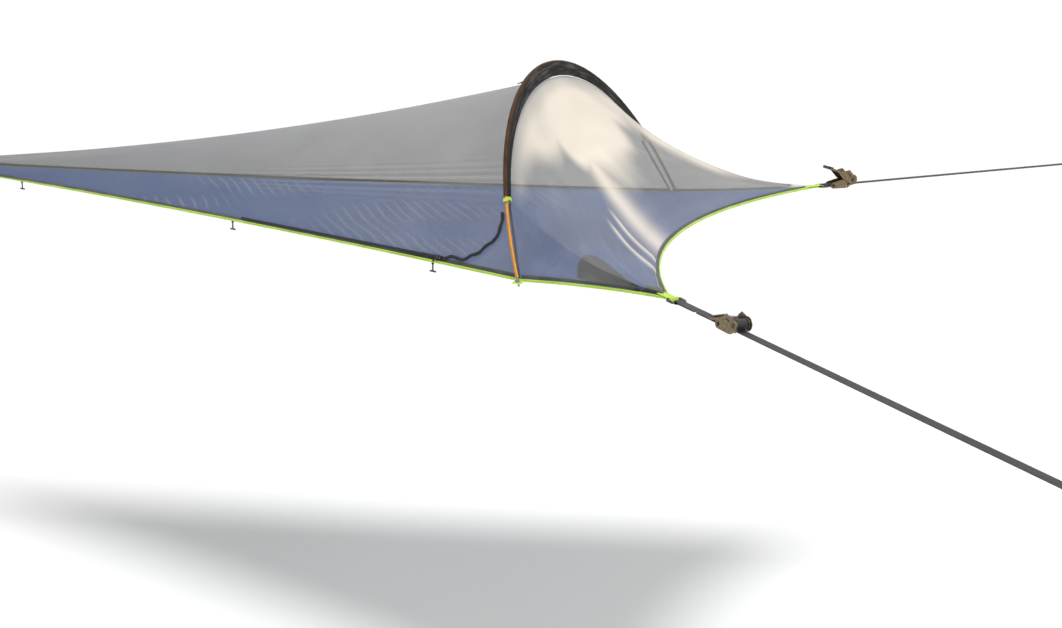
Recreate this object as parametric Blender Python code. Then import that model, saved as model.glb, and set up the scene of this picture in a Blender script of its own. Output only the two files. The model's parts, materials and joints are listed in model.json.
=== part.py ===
"""A tree tent: a taut triangular floor hung by its corners, a mesh canopy over one arched pole,
and a ratchet with its strap at each of the two head corners.

Metres, +Z up. The origin is the tip of the floor's foot corner, and +X runs from foot to head.
The near side is -Y and the far side +Y.
"""

import math

import bmesh
import bpy
from mathutils import Euler, Matrix, Vector
from mathutils.geometry import tessellate_polygon

NEAR, FAR = -1, 1
up = Vector((0, 0, 1))
crease_angle = math.radians(40)

# Floor plan
floor_length = 3.1
floor_width = 1.577
pole_foot_x = 2.652
pole_foot_half_width = 0.67
pole_foot_drop = 0.028
side_edge_bow = 0.047
head_side_bow = 0.021
head_edge_inset = 0.203

# Cloth and webbing
fit = 0.0003
cloth = 0.001
floor_edge_gap = 0.0009
seam_gap = 0.0008
edge_width = 0.012
edge_thickness = 0.003
strap_width = 0.025
strap_thickness = 0.0016
canopy_edge_inset = 0.009
foot_corner_reach = 0.076
head_corner_reach = 0.054
canopy_tip_setback = 0.075
floor_tip_setback = 0.043
sewn_overlap = 0.0005

# Arched pole
pole_radius = 0.00475
pole_wall = 0.0007
ferrule_play = 0.0003
ferrule_wall = 0.0005
shock_cord_radius = 0.00125
pole_foot_spread = 0.0066366
arch_rise = 0.69
arch_centre_z = -0.237
arch_lean_share = -0.391
pole_sections = 4
steps_per_section = 10
pole_sides = 8
pole_clear_of_edge = 0.012

# Pole foot
tab_length = 0.034
tab_thickness = 0.002
tab_tuck = 0.008
eyelet_bore = 0.0042
eyelet_rim = 0.0028
eyelet_height = 0.0026
tip_collar = 0.008
tip_pin = 0.016
tip_pin_radius = 0.0025

# Sleeve and canopy
sleeve_end_z = 0.17
sleeve_room = 0.00075
sleeve_cloth = 0.0008
sleeve_seam_room = 0.0002
sleeve_least_depth = 0.018
sleeve_web_depth = 0.022
sleeve_steps = 26
foot_ridge_sag = 0.049
head_ridge_sag = 0.118
foot_sag_skew = 1.2
head_sag_skew = 1.1
head_wall_lift_share = 0.6
canopy_start_share = 0.015
floor_start_share = 0.03
ridge_step = 10
foot_steps = 10
head_steps = 7
side_steps = 5
wall_steps = 10

# Fittings on the side edges, as shares of the stretch from the foot tip to the pole
hook_shares = (0.23, 0.595, 0.886)
hook_cord_radius = 0.001
hook_cord_drop = 0.008
hook_cord_half_width = 0.003
hook_bore = 0.0015
hook_eye_radius = 0.004
hook_length = 0.024
hook_stem = 0.004
hook_bar_length = 0.022
hook_bar_height = 0.0045
hook_thickness = 0.0024

# Door zip on the near side
zip_width = 0.007
zip_thickness = 0.0016
zip_stand_off = 0.0018
zip_foot_share = 0.6
zip_height_share = 0.007
zip_smoothing = 3
zip_wave_shares = (
    (0.987, 0.118), (0.985, 0.104), (0.982, 0.091), (0.977, 0.074), (0.968, 0.058), (0.953, 0.039),
    (0.942, 0.027), (0.927, 0.017), (0.913, 0.010), (0.900, 0.007),
)
slider_length = 0.016
slider_width = 0.011
slider_height = 0.004
slider_taper_share = 0.6
pull_length = 0.022
pull_hang = math.radians(40)
pull_width = 0.005
pull_thickness = 0.0012

# Inner pocket and ridge tab
pocket_thickness = 0.003
pocket_stand_off = 0.005
pocket_along_shares = 0.4, 0.75
pocket_height_shares = 0.02, 0.1
ridge_tab_length = 0.022
ridge_tab_width = 0.014
ridge_tab_thickness = 0.002
ridge_tab_share = 0.35

# Corner ring and its webbing loop
ring_rod = 0.0035
ring_length = 0.03
ring_side_room = 0.002
ring_corner = 0.0055
corner_eye = 0.01
foot_tail, head_tail = 0.088, 0.05
head_tail_room = 0.0006

# Ratchet: frame
near_link, far_link = 0.206, 0.016
link_slope_share = 0.18
plate = 0.002
frame_side_room = 0.002
frame_reach = 0.075
frame_bolt_end = 0.010
frame_spool_end = 0.0135
frame_belly = 0.0215
frame_base_start = 0.008
frame_base_end = 0.038
bolt_radius = 0.003
bolt_head = 0.0055
bolt_head_height = 0.002

# Ratchet: spool and gear wheels
mandrel_radius = 0.0062
mandrel_slot = 0.0024
mandrel_overhang = 0.0014
gear_root = 0.0145
gear_tip = 0.018
gear_teeth = 12
gap_root_share, gap_tip_share = 0.4, 0.633
roll_turns = 3
roll_pitch = 0.0021
roll_steps = 20

# Ratchet: handle and pawls
handle_length = 0.1
near_handle_open, far_handle_open = 0.0, math.radians(30)
handle_ear = 0.0165
handle_low = 0.006
handle_high = 0.0155
handle_end_low = 0.0095
handle_lobe = 0.036
web_start = 0.037
grip_length = 0.017
grip_low = 0.0105
grip_high = 0.019
grip_wall = 0.0035
pawl_thickness = 0.0022
pawl_length = 0.012
pawl_clear_of_root = 0.0006
pawl_clear_of_tip = 0.0004
pawl_travel = 0.0035
pawl_lift = 0.001
handle_pawl_angle = math.radians(150)
frame_pawl_angle = math.radians(210)

# Tree straps, from the corner's tip to the end of the sewn loop
near_strap_angle = math.radians(-43.5)
far_strap_angle = math.radians(47)
near_strap_end = 1.56
far_strap_end = 1.25
strap_eye_radius = 0.01
strap_eye_length = 0.1
strap_sewn_length = 0.06

# Derived sizes
arch_foot_z = -pole_foot_drop
arch_foot_height_share = (arch_foot_z - arch_centre_z) / arch_rise
arch_half_width = (pole_foot_half_width + pole_foot_spread) / math.sqrt(1 - arch_foot_height_share**2)
kink_half_width = pole_foot_half_width - pole_clear_of_edge
edge_half = edge_thickness / 2
canopy_rise = edge_half + fit + cloth / 2
frame_half_gap = strap_width / 2 + frame_side_room
gear_inner = frame_half_gap + plate + fit
gear_outer = gear_inner + plate
arm_inner = gear_outer + fit
arm_outer = arm_inner + plate
ring_half_width = strap_width / 2 + ring_side_room + ring_rod
eye_radius = ring_rod + fit + strap_thickness / 2
bolt_loop_radius = bolt_radius + fit + strap_thickness / 2
link_waist = (strap_thickness + fit) / 2
roll_inner = mandrel_radius + fit + strap_thickness / 2
roll_outer = roll_inner + roll_turns * roll_pitch + strap_thickness / 2
strap_drop = roll_outer + fit + strap_thickness / 2
ratchet_tilt = math.asin(strap_drop / frame_reach)
tab_z = -pole_foot_drop - edge_half - tab_thickness / 2 + sewn_overlap


def clear_scene():
    for thing in list(bpy.data.objects):
        bpy.data.objects.remove(thing, do_unlink=True)


def paint(name, colour, roughness, metallic=0.0):
    made = bpy.data.materials.new(name)
    made.use_nodes = True
    shader = made.node_tree.nodes["Principled BSDF"]
    shader.inputs["Base Color"].default_value = (*colour, 1)
    shader.inputs["Roughness"].default_value = roughness
    shader.inputs["Metallic"].default_value = metallic
    return made


def add(name, shape, finish, parent=None, location=(0, 0, 0), rotation=(0, 0, 0)):
    """One named object from a shape, which is a list of points and a list of faces."""
    points, faces = shape
    mesh = bpy.data.meshes.new(name)
    mesh.from_pydata([tuple(p) for p in points], [], [tuple(f) for f in faces])
    edit = bmesh.new()
    edit.from_mesh(mesh)
    bmesh.ops.recalc_face_normals(edit, faces=edit.faces)
    edit.to_mesh(mesh)
    edit.free()
    mesh.shade_smooth()
    mesh.set_sharp_from_angle(angle=crease_angle)
    thing = bpy.data.objects.new(name, mesh)
    bpy.context.collection.objects.link(thing)
    thing.data.materials.append(finish)
    thing.parent = parent
    thing.location = location
    thing.rotation_euler = rotation
    return thing


def empty(name, location, rotation=(0, 0, 0), parent=None):
    made = bpy.data.objects.new(name, None)
    bpy.context.collection.objects.link(made)
    made.parent = parent
    made.location = location
    made.rotation_euler = rotation
    return made


def combine(thing, shape, finish, operation="UNION"):
    """Joins a second shape to an object, or cuts it out, with a Boolean whose helper stays hidden."""
    name = f"{thing.name}_helper_{len(thing.modifiers)}"
    helper = add(name, shape, finish, thing.parent, thing.location, thing.rotation_euler)
    helper.hide_render = True
    helper.display_type = "WIRE"
    change = thing.modifiers.new("combine", "BOOLEAN")
    change.operation = operation
    change.object = helper


def moved(shape, matrix):
    points, faces = shape
    return [matrix @ Vector(p) for p in points], faces


def loft(rings, closed=False):
    """A skin over equal rings of points, capped at its ends unless it closes on itself."""
    count = len(rings[0])
    points = [p for ring in rings for p in ring]
    faces = []
    for k in range(len(rings) if closed else len(rings) - 1):
        here, there = k * count, (k + 1) % len(rings) * count
        for i in range(count):
            j = (i + 1) % count
            faces.append((here + i, here + j, there + j, there + i))
    if not closed:
        faces.append(tuple(range(count)))
        faces.append(tuple(range(len(points) - count, len(points))))
    return points, faces


def prism(outline, low, high, holes=()):
    """An outline in the XZ plane, with holes, that runs along Y from low to high."""
    loops = [list(outline), *[list(hole) for hole in holes]]
    flat = [point for loop in loops for point in loop]
    caps = tessellate_polygon([[Vector((x, z, 0)) for x, z in loop] for loop in loops])
    count = len(flat)
    points = [Vector((x, y, z)) for y in (low, high) for x, z in flat]
    faces = [tuple(cap) for cap in caps] + [tuple(i + count for i in cap) for cap in caps]
    start = 0
    for loop in loops:
        for i in range(len(loop)):
            here, there = start + i, start + (i + 1) % len(loop)
            faces.append((here, there, there + count, here + count))
        start += len(loop)
    return points, faces


def arc(x, z, radius, first, last, steps):
    """Points on an arc in the XZ plane, from one angle to another in degrees."""
    angles = [math.radians(first + (last - first) * i / steps) for i in range(steps + 1)]
    return [(x + radius * math.cos(a), z + radius * math.sin(a)) for a in angles]


def circle(radius, steps, x=0.0, z=0.0):
    return arc(x, z, radius, 0, 360, steps)[:-1]


def tangents(path):
    ends = [path[0], *path, path[-1]]
    return [(ends[i + 2] - ends[i]).normalized() for i in range(len(path))]


def ribbon(path, acrosses, width, thickness):
    """A flat band along a path, whose width lies along the vectors in acrosses."""
    rings = []
    for point, along, across in zip(path, tangents(path), acrosses):
        side = across.normalized() * width / 2
        rise = along.cross(across).normalized() * thickness / 2
        rings.append([point - side - rise, point + side - rise, point + side + rise, point - side + rise])
    return loft(rings)


def webbing(path, width, thickness):
    """A band whose path lies in the XZ plane and whose width lies along Y."""
    spine = [Vector((x, 0, z)) for x, z in path]
    return ribbon(spine, [Vector((0, 1, 0))] * len(spine), width, thickness)


def rings_along(path, normals, binormal, radius, sides):
    """Round sections along a flat path: normals lie in its plane and binormal is square to it."""
    turns = [math.tau * (i + 0.5) / sides for i in range(sides)]
    return [
        [point + (normal * math.cos(a) + binormal * math.sin(a)) * radius for a in turns]
        for point, normal in zip(path, normals)
    ]


def skin(grid, thickness):
    """A sheet of even thickness over a grid of points."""
    rows, columns = len(grid), len(grid[0])
    normals = []
    for i in range(rows):
        for j in range(columns):
            along = grid[min(i + 1, rows - 1)][j] - grid[max(i - 1, 0)][j]
            across = grid[i][min(j + 1, columns - 1)] - grid[i][max(j - 1, 0)]
            normals.append(along.cross(across).normalized())
    middle = [point for row in grid for point in row]
    points = [p + n * thickness / 2 for p, n in zip(middle, normals)]
    points += [p - n * thickness / 2 for p, n in zip(middle, normals)]
    count = rows * columns
    faces = []
    for i in range(rows - 1):
        for j in range(columns - 1):
            a = i * columns + j
            top = (a, a + 1, a + columns + 1, a + columns)
            faces += [top, tuple(k + count for k in top)]
    border = [j for j in range(columns)]
    border += [i * columns + columns - 1 for i in range(1, rows)]
    border += [(rows - 1) * columns + j for j in range(columns - 2, -1, -1)]
    border += [i * columns for i in range(rows - 2, 0, -1)]
    for here, there in zip(border, border[1:] + border[:1]):
        faces.append((here, there, there + count, here + count))
    return points, faces


def shares(steps, first=0.0, last=1.0):
    return [first + (last - first) * i / steps for i in range(steps + 1)]


# The edges of the floor: outer lines of the edge webbing


def side_edge(side, share):
    """A point between the foot tip, at 0, and the pole, at 1."""
    half_width = kink_half_width * share - 4 * side_edge_bow * share * (1 - share)
    return Vector((pole_foot_x * share, side * half_width, -pole_foot_drop * share))


def head_side_edge(side, share):
    """A point between the pole, at 0, and the head corner, at 1."""
    grow = (floor_width / 2 - kink_half_width) * share - 4 * head_side_bow * share * (1 - share)
    x = pole_foot_x + (floor_length - pole_foot_x) * share
    return Vector((x, side * (kink_half_width + grow), -pole_foot_drop * (1 - share)))


def head_edge(share):
    """A point between the near head corner, at -1, and the far one, at 1."""
    return Vector((floor_length - head_edge_inset * (1 - share**2), share * floor_width / 2, 0))


def head_corner(side):
    return head_edge(side)


def corner_outward(side):
    """The direction in which a head corner points: away from the middle of its two edges."""
    side_run = floor_width / 2 - kink_half_width + 4 * head_side_bow
    along_side = Vector((floor_length - pole_foot_x, side * side_run, 0))
    along_head = Vector((4 * head_edge_inset / floor_width, side, 0))
    return (along_side.normalized() + along_head.normalized()).normalized()


def inset(path, distance):
    """A path moved square to itself, in plan, towards the tent's middle."""
    middle = Vector((pole_foot_x, 0, 0))
    out = []
    for point, along in zip(path, tangents(path)):
        square = along.cross(up).normalized()
        if square.dot(middle - point) < 0:
            square = -square
        out.append(point + square * distance)
    return out


def side_line(side):
    """The whole side edge, without the two corners."""
    first, last = foot_corner_reach / pole_foot_x, 1 - head_corner_reach / (floor_length - pole_foot_x)
    foot = [side_edge(side, s) for s in shares(foot_steps, first)]
    return foot + [head_side_edge(side, s) for s in shares(side_steps, 0, last)[1:]]


def head_line():
    reach = 1 - head_corner_reach / (floor_width / 2)
    return [head_edge(s) for s in shares(2 * wall_steps, -reach, reach)]


# The arched pole

def arch_point(turn, depth=0.0):
    """A point on the pole's centreline, or that far inside it; turn is 0 level with the arch's middle."""
    y, z = -arch_half_width * math.cos(turn), arch_rise * math.sin(turn)
    inward = Vector((0, -y / arch_half_width**2, -z / arch_rise**2))
    inward.x = arch_lean_share * inward.z
    z += arch_centre_z
    return Vector((pole_foot_x + arch_lean_share * (z - arch_foot_z), y, z)) + inward.normalized() * depth


def arch_inward(turn):
    return arch_point(turn, 1) - arch_point(turn)


arch_binormal = Vector((1, 0, -arch_lean_share)).normalized()
turn_at_foot = math.asin((arch_foot_z - arch_centre_z) / arch_rise)
foot_slope = (arch_point(turn_at_foot) - arch_point(turn_at_foot + math.radians(1))).normalized()
tip_lean = math.acos(-foot_slope.z)
pole_end_z = (
    tab_z + eyelet_height / 2 + fit + pole_radius * math.sin(tip_lean) + (tip_collar + fit) * math.cos(tip_lean)
)
turn_at_end = math.asin((pole_end_z - arch_centre_z) / arch_rise)
turn_at_sleeve = math.asin((sleeve_end_z - arch_centre_z) / arch_rise)


def sleeve_depth(turn):
    """How far inside the pole's centreline the sleeve's seam lies."""
    share = (turn - turn_at_sleeve) / (math.pi - 2 * turn_at_sleeve)
    return sleeve_least_depth + sleeve_web_depth * math.sin(math.pi * share) ** 2


def pole_stretch(first, last):
    turns = [turn_at_end + (math.pi - 2 * turn_at_end) * s for s in shares(pole_sections * steps_per_section)]
    return turns[first : last + 1]


def trimmed(path, gap):
    """A path without a short length at each end."""
    first = path[0] + (path[1] - path[0]).normalized() * gap
    last = path[-1] + (path[-2] - path[-1]).normalized() * gap
    return [first, *path[1:-1], last]


def pole_section(number):
    """A tube of the pole; all but the last end in a ferrule, which reaches into the next one."""
    start, end = number * steps_per_section, (number + 1) * steps_per_section
    turns = pole_stretch(start, end)
    bore, ferrule = pole_radius - pole_wall, pole_radius - pole_wall - ferrule_play
    path = trimmed([arch_point(t) for t in turns], fit / 2)
    stations = [(p, t, pole_radius) for p, t in zip(path, turns)]
    if number < pole_sections - 1:
        inside, outside = pole_stretch(end - 1, end + 1)[::2]
        stations += [(path[-1], turns[-1], ferrule)]
        stations += [(arch_point(outside), outside, radius) for radius in (ferrule, ferrule - ferrule_wall)]
        stations += [(path[-1], turns[-1], ferrule - ferrule_wall)]
        stations += [(arch_point(inside), inside, radius) for radius in (ferrule - ferrule_wall, bore)]
        path, turns = path[:-2], turns[:-2]
    stations += [(p, t, bore) for p, t in zip(path[::-1], turns[::-1])]
    rings = []
    for point, turn, radius in stations:
        rings += rings_along([point], [arch_inward(turn)], arch_binormal, radius, pole_sides)
    return loft(rings, closed=True)


def shock_cord():
    turns = pole_stretch(0, pole_sections * steps_per_section)
    path = trimmed([arch_point(t) for t in turns], fit)
    return loft(rings_along(path, [arch_inward(t) for t in turns], arch_binormal, shock_cord_radius, pole_sides))


def pole_end(side):
    """The end of the pole and the way it points there, for one side."""
    end = arch_point(turn_at_end)
    slope = (end - arch_point(turn_at_end + math.radians(1))).normalized()
    mirror = Vector((1, -side, 1))
    return end * mirror, slope * mirror


def tip_piece(side):
    end, slope = pole_end(side)
    start = end + slope * fit
    square = slope.cross(Vector((1, 0, 0))).normalized()
    other = slope.cross(square)
    stations = (
        (0, pole_radius), (tip_collar, pole_radius), (tip_collar, tip_pin_radius),
        (tip_collar + tip_pin, tip_pin_radius),
    )
    rings = []
    for distance, radius in stations:
        turns = [math.tau * i / pole_sides for i in range(pole_sides)]
        centre = start + slope * distance
        rings.append([centre + (square * math.cos(a) + other * math.sin(a)) * radius for a in turns])
    return loft(rings)


def eyelet_place(side):
    end, slope = pole_end(side)
    return end + slope * ((tab_z - end.z) / slope.z)


def build_pole(orange, metal, elastic):
    for number in range(pole_sections):
        add(f"pole_section_{number + 1}", pole_section(number), orange)
    add("pole_shock_cord", shock_cord(), elastic)
    for side, name in ((NEAR, "near"), (FAR, "far")):
        add(f"{name}_pole_tip", tip_piece(side), metal)


def build_pole_foot(side, name, edge, lime, metal):
    """A tab sewn under the edge webbing, with the eyelet that holds the pole's tip."""
    flat = Matrix.Rotation(-math.pi / 2, 4, "X")
    place = eyelet_place(side)
    inner_y = kink_half_width - edge_width + tab_tuck
    outer_y = inner_y + tab_length
    half = strap_width / 2
    outline = [(-half, inner_y), (half, inner_y), (half, outer_y), (-half, outer_y)]
    hole = circle(eyelet_bore + eyelet_rim + fit, 16, 0, abs(place.y))
    turn = Matrix.Translation((place.x, 0, tab_z)) @ Matrix.Diagonal((1, side, 1, 1)) @ flat
    combine(edge, moved(prism(outline, -tab_thickness / 2, tab_thickness / 2, [hole]), turn), lime)
    bore, outer = circle(eyelet_bore, 12), circle(eyelet_bore + eyelet_rim, 16)
    ring = moved(prism(outer, -eyelet_height / 2, eyelet_height / 2, [bore]), flat)
    add(f"{name}_pole_eyelet", ring, metal, location=place)


def build_sleeve(mesh_cloth):
    outer = pole_radius + sleeve_room + sleeve_cloth
    inner = pole_radius + sleeve_room
    rings = []
    for share in shares(sleeve_steps):
        turn = turn_at_sleeve + (math.pi - 2 * turn_at_sleeve) * share
        centre, inward, depth = arch_point(turn), arch_inward(turn), sleeve_depth(turn)
        section = [(depth, sleeve_seam_room + sleeve_cloth)]
        section += [(-z, x) for x, z in arc(0, 0, outer, 0, 180, 6)]
        section += [(depth, -sleeve_seam_room - sleeve_cloth), (depth, -sleeve_seam_room)]
        section += [(-z, x) for x, z in arc(0, 0, inner, 180, 0, 6)]
        section += [(depth, sleeve_seam_room)]
        rings.append([centre + inward * deep + arch_binormal * wide for deep, wide in section])
    add("pole_sleeve", loft(rings), mesh_cloth)


# The canopy

lower_share = 0.14
ridge_share = lower_share + (1 - 2 * lower_share) * ridge_step / sleeve_steps


def arch_seam(share):
    """Where the canopy meets the arch: 0 at the near edge, 1 at the far one."""
    if share > 0.5:
        return arch_seam(1 - share) * Vector((1, -1, 1))
    foot = Vector((pole_foot_x, canopy_edge_inset - kink_half_width, canopy_rise - pole_foot_drop))
    step = max(share - lower_share, 0) / (0.5 - lower_share) / 2
    turn = turn_at_sleeve + (math.pi - 2 * turn_at_sleeve) * step
    at_sleeve = arch_point(turn, sleeve_depth(turn) + fit + 2 * cloth)
    if share >= lower_share:
        return at_sleeve
    return foot.lerp(at_sleeve, share / lower_share)


def height_share(share):
    """How high a place on the arch seam is, from 0 at the edge to 1 at the top."""
    low, top = arch_seam(0).z, arch_seam(0.5).z
    return (arch_seam(share).z - low) / (top - low)


def foot_sag_share(along):
    """How far the foot ridge hangs: most between its middle and the arch, where it is 1."""
    return 4.5 * along**foot_sag_skew * (1 - along)


def head_sag_share(along):
    """How far the head ridges hang: most between the arch and their middle, where it is 1."""
    return 4.1 * along * max(1 - along, 0) ** head_sag_skew


def foot_surface(along, share):
    """The canopy between the foot tip, at 0, and the arch, at 1."""
    apex = Vector((canopy_tip_setback, 0, canopy_rise))
    seam = arch_seam(share)
    point = apex.lerp(seam, along)
    edge = abs(side_edge(NEAR, point.x / seam.x).y) - canopy_edge_inset * along
    point.y = seam.y * edge / (kink_half_width - canopy_edge_inset)
    point.z -= foot_ridge_sag * foot_sag_share(along) * height_share(share)
    return point


def canopy_corner(side):
    return head_corner(side) - corner_outward(side) * canopy_tip_setback + up * canopy_rise


def head_foot(share):
    """The foot of the head wall: -1 at the near corner, 1 at the far one."""
    corner = canopy_corner(FAR)
    y = corner.y * share
    x = head_edge(2 * y / floor_width).x - canopy_edge_inset
    x_at_corner = head_edge(2 * corner.y / floor_width).x - canopy_edge_inset
    return Vector((x - (x_at_corner - corner.x) * share**8, y, canopy_rise))


def head_surface(along, share):
    """The canopy between the arch, at 0, and the head corners or the head edge, at 1."""
    if share > 0.5:
        return head_surface(along, 1 - share) * Vector((1, -1, 1))
    across = min((share - ridge_share) / (0.5 - ridge_share) - 1, 0)
    goal = head_foot(max(across, -1))
    point = arch_seam(share).lerp(goal, along)
    bulge = 4 * along * (1 - along)
    near_edge = max(1 - share / lower_share, 0)
    point.y += head_side_bow * bulge * near_edge
    sag = head_ridge_sag * min(share / ridge_share, 1)
    if share > ridge_share:
        sag *= 1 - head_wall_lift_share * math.cos(across * math.pi / 2)
    point.z -= sag * head_sag_share(along)
    return point


def canopy_panel(surface, alongs, places, shift):
    return skin([[surface(a, s) + shift for s in places] for a in alongs], cloth)


def build_canopy(mesh_cloth):
    low = shares(2, 0, lower_share)
    ridge = shares(ridge_step, lower_share, ridge_share)[1:]
    crown = shares(sleeve_steps // 2 - ridge_step, ridge_share, 0.5)[1:]
    foot_alongs = shares(foot_steps, canopy_start_share)
    head_alongs = shares(head_steps, 0, 1 - canopy_start_share)
    for side, name in ((NEAR, "near"), (FAR, "far")):
        half, flank = low + ridge + crown, low + ridge
        if side == FAR:
            half, flank = [1 - s for s in half], [1 - s for s in flank]
        foot_shift = Vector((-seam_gap, side * seam_gap, 0))
        head_shift = Vector((seam_gap, side * 2 * seam_gap, 0))
        add(f"{name}_foot_canopy", canopy_panel(foot_surface, foot_alongs, half, foot_shift), mesh_cloth)
        add(f"{name}_head_canopy", canopy_panel(head_surface, head_alongs, flank, head_shift), mesh_cloth)
    wall = shares(2 * (sleeve_steps - 2 * ridge_step), ridge_share, 1 - ridge_share)
    wall_shift = Vector((seam_gap, 0, 0))
    add("head_wall_canopy", canopy_panel(head_surface, head_alongs, wall, wall_shift), mesh_cloth)


def floor_tip():
    """The floor's own corner on the far side, inside the corner of the edges."""
    return head_corner(FAR) - corner_outward(FAR) * floor_tip_setback


def inside_head_edge(share, distance):
    """A point that far inside the head edge, for a share of the floor's half width."""
    slope = 4 * head_edge_inset * share / floor_width
    return head_edge(share) - Vector((distance * math.hypot(1, slope), 0, 0))


def foot_row(share):
    """The floor's two ends of a row, inside the edge webbing, for a share of the way to the pole."""
    step = 1 / foot_steps
    ends = []
    for side in (NEAR, FAR):
        line = [side_edge(side, share - step), side_edge(side, share), side_edge(side, share + step)]
        ends.append(inset(line, edge_width + floor_edge_gap)[1])
    return ends


def floor_head(along, share):
    """The floor between the pole's row, at 0, and the head edge, at 1; share is -1 near and 1 far."""
    tip = floor_tip()
    tip_share = tip.y / (floor_width / 2)
    near, far = foot_row(1)
    goal = inside_head_edge(tip_share * share, edge_width + floor_edge_gap)
    goal.x -= (inside_head_edge(tip_share, edge_width + floor_edge_gap).x - tip.x) * share**8
    point = near.lerp(far, (share + 1) / 2).lerp(goal, along)
    point.y -= 4 * head_side_bow * along * (1 - along) * share
    return point


def build_floor(blue):
    rows = []
    for along in shares(foot_steps, floor_start_share):
        near, far = foot_row(along)
        rows.append([near.lerp(far, s) for s in shares(2 * wall_steps)])
    for along in shares(side_steps)[1:]:
        rows.append([floor_head(along, s) for s in shares(2 * wall_steps, -1, 1)])
    add("floor_panel", skin(rows, cloth), blue)


def build_edge(name, line, lime):
    path = inset(line, edge_width / 2)
    acrosses = [along.cross(up) for along in tangents(path)]
    return add(name, ribbon(path, acrosses, edge_width, edge_thickness), lime)


def build_edges(paints):
    build_edge("head_edge_webbing", head_line(), paints["lime"])
    for side, name in ((NEAR, "near"), (FAR, "far")):
        edge = build_edge(f"{name}_edge_webbing", side_line(side), paints["lime"])
        build_pole_foot(side, name, edge, paints["lime"], paints["metal"])
        for number, share in enumerate(hook_shares, 1):
            build_hook(side, share, f"{name}_hook_{number}", edge, paints["black"])


# What hangs at the edges and lies on the canopy


def build_hook(side, share, name, edge, black):
    """A cord loop sewn under the edge webbing, and the toggle that hangs from it."""
    step = 1 / foot_steps / foot_steps
    line = [side_edge(side, share - step), side_edge(side, share), side_edge(side, share + step)]
    along = tangents(line)[1]
    outward = along.cross(up).normalized()
    place = inset(line, edge_width / 2)[1]
    half, drop, bend = hook_cord_half_width, hook_cord_drop + edge_half, hook_cord_half_width / 2
    route = [(-half, 0), (-half, bend - drop), (-bend, -drop), (bend, -drop), (half, bend - drop), (half, 0)]
    path = [place + outward * s + up * z for s, z in route]
    normals = [t.cross(along).normalized() for t in tangents(path)]
    combine(edge, loft(rings_along(path, normals, along, hook_cord_radius, 6)), black)
    turn = math.atan2(along.y, along.x)
    add(name, hook_shape(), black, location=place - up * drop, rotation=(0, 0, turn))


def hook_shape():
    """A T-shaped toggle that hangs by the eye at its top."""
    stem, bar = hook_stem / 2, hook_bar_length / 2
    foot = -hook_length
    outline = arc(0, 0, hook_eye_radius, 240, -60, 8)
    outline += [(stem, foot + hook_bar_height), (bar, foot + hook_bar_height), (bar, foot)]
    outline += [(-bar, foot), (-bar, foot + hook_bar_height), (-stem, foot + hook_bar_height)]
    return prism(outline, -hook_thickness / 2, hook_thickness / 2, [circle(hook_bore, 8)])


def canopy_outward(along, share):
    """The foot canopy's direction away from the cabin at a place."""
    step = 1 / foot_steps / foot_steps
    one = foot_surface(along + step, share) - foot_surface(along - step, share)
    other = foot_surface(along, share + step) - foot_surface(along, max(share - step, 0))
    normal = one.cross(other).normalized()
    return normal if normal.z > 0 else -normal


def zip_route():
    """The zip's centreline and outward directions: a slack wave from the sleeve, then straight by the edge."""
    places = [*zip_wave_shares, (zip_foot_share, zip_height_share)]
    lift = zip_stand_off + (cloth + zip_thickness) / 2
    outwards = [canopy_outward(*place) for place in places]
    points = [foot_surface(*place) + outward * lift for place, outward in zip(places, outwards)]
    path, directions = [], []
    for i in range(len(points) - 2):
        before, here = points[max(i - 1, 0)], points[i]
        there, after = points[i + 1], points[min(i + 2, len(points) - 2)]
        for s in shares(zip_smoothing)[:-1]:
            curve = 2 * here + (there - before) * s
            curve += (2 * before - 5 * here + 4 * there - after) * s**2
            curve += (3 * here - before - 3 * there + after) * s**3
            path.append(curve / 2)
            directions.append(outwards[i].lerp(outwards[i + 1], s))
    return path + points[-2:], directions + [outwards[-2], outwards[-2]]


def flat_block(outline, low, high):
    """A block whose outline lies in the XY plane."""
    return loft([[Vector((x, y, z)) for x, y in outline] for z in (low, high)])


def build_zip(black, metal):
    path, outwards = zip_route()
    acrosses = [along.cross(outward) for along, outward in zip(tangents(path), outwards)]
    add("door_zip", ribbon(path, acrosses, zip_width, zip_thickness), black)
    along, outward = (path[-1] - path[-2]).normalized(), outwards[-1]
    across = outward.cross(along).normalized()
    turn = Matrix((along, across, along.cross(across))).transposed()
    park = path[-2] + along * slider_length
    low = zip_thickness / 2 + fit
    back, half, narrow = slider_length / 2, slider_width / 2, slider_width * slider_taper_share / 2
    outline = [(-back, -half), (back, -narrow), (back, narrow), (-back, half)]
    slider = flat_block(outline, low, low + slider_height)
    add("zip_slider", slider, metal, location=park, rotation=turn.to_euler())
    low += slider_height + fit
    half = pull_width / 2
    outline = [(0, -half), (pull_length, -half), (pull_length, half), (0, half)]
    pull = moved(flat_block(outline, low, low + pull_thickness), Matrix.Rotation(pull_hang, 4, "Z"))
    add("zip_pull", pull, black, location=park, rotation=turn.to_euler())


def build_pocket(mesh_cloth):
    """A pouch sewn to the inside of the near head canopy."""
    step = 1 / foot_steps / foot_steps
    rows = []
    for along in shares(4, *pocket_along_shares):
        row = []
        for share in shares(3, *pocket_height_shares):
            point = head_surface(along, share)
            one = head_surface(along + step, share) - point
            other = head_surface(along, share + step) - point
            row.append(point + one.cross(other).normalized() * pocket_stand_off)
        rows.append(row)
    add("inner_pocket", skin(rows, pocket_thickness), mesh_cloth)


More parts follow.
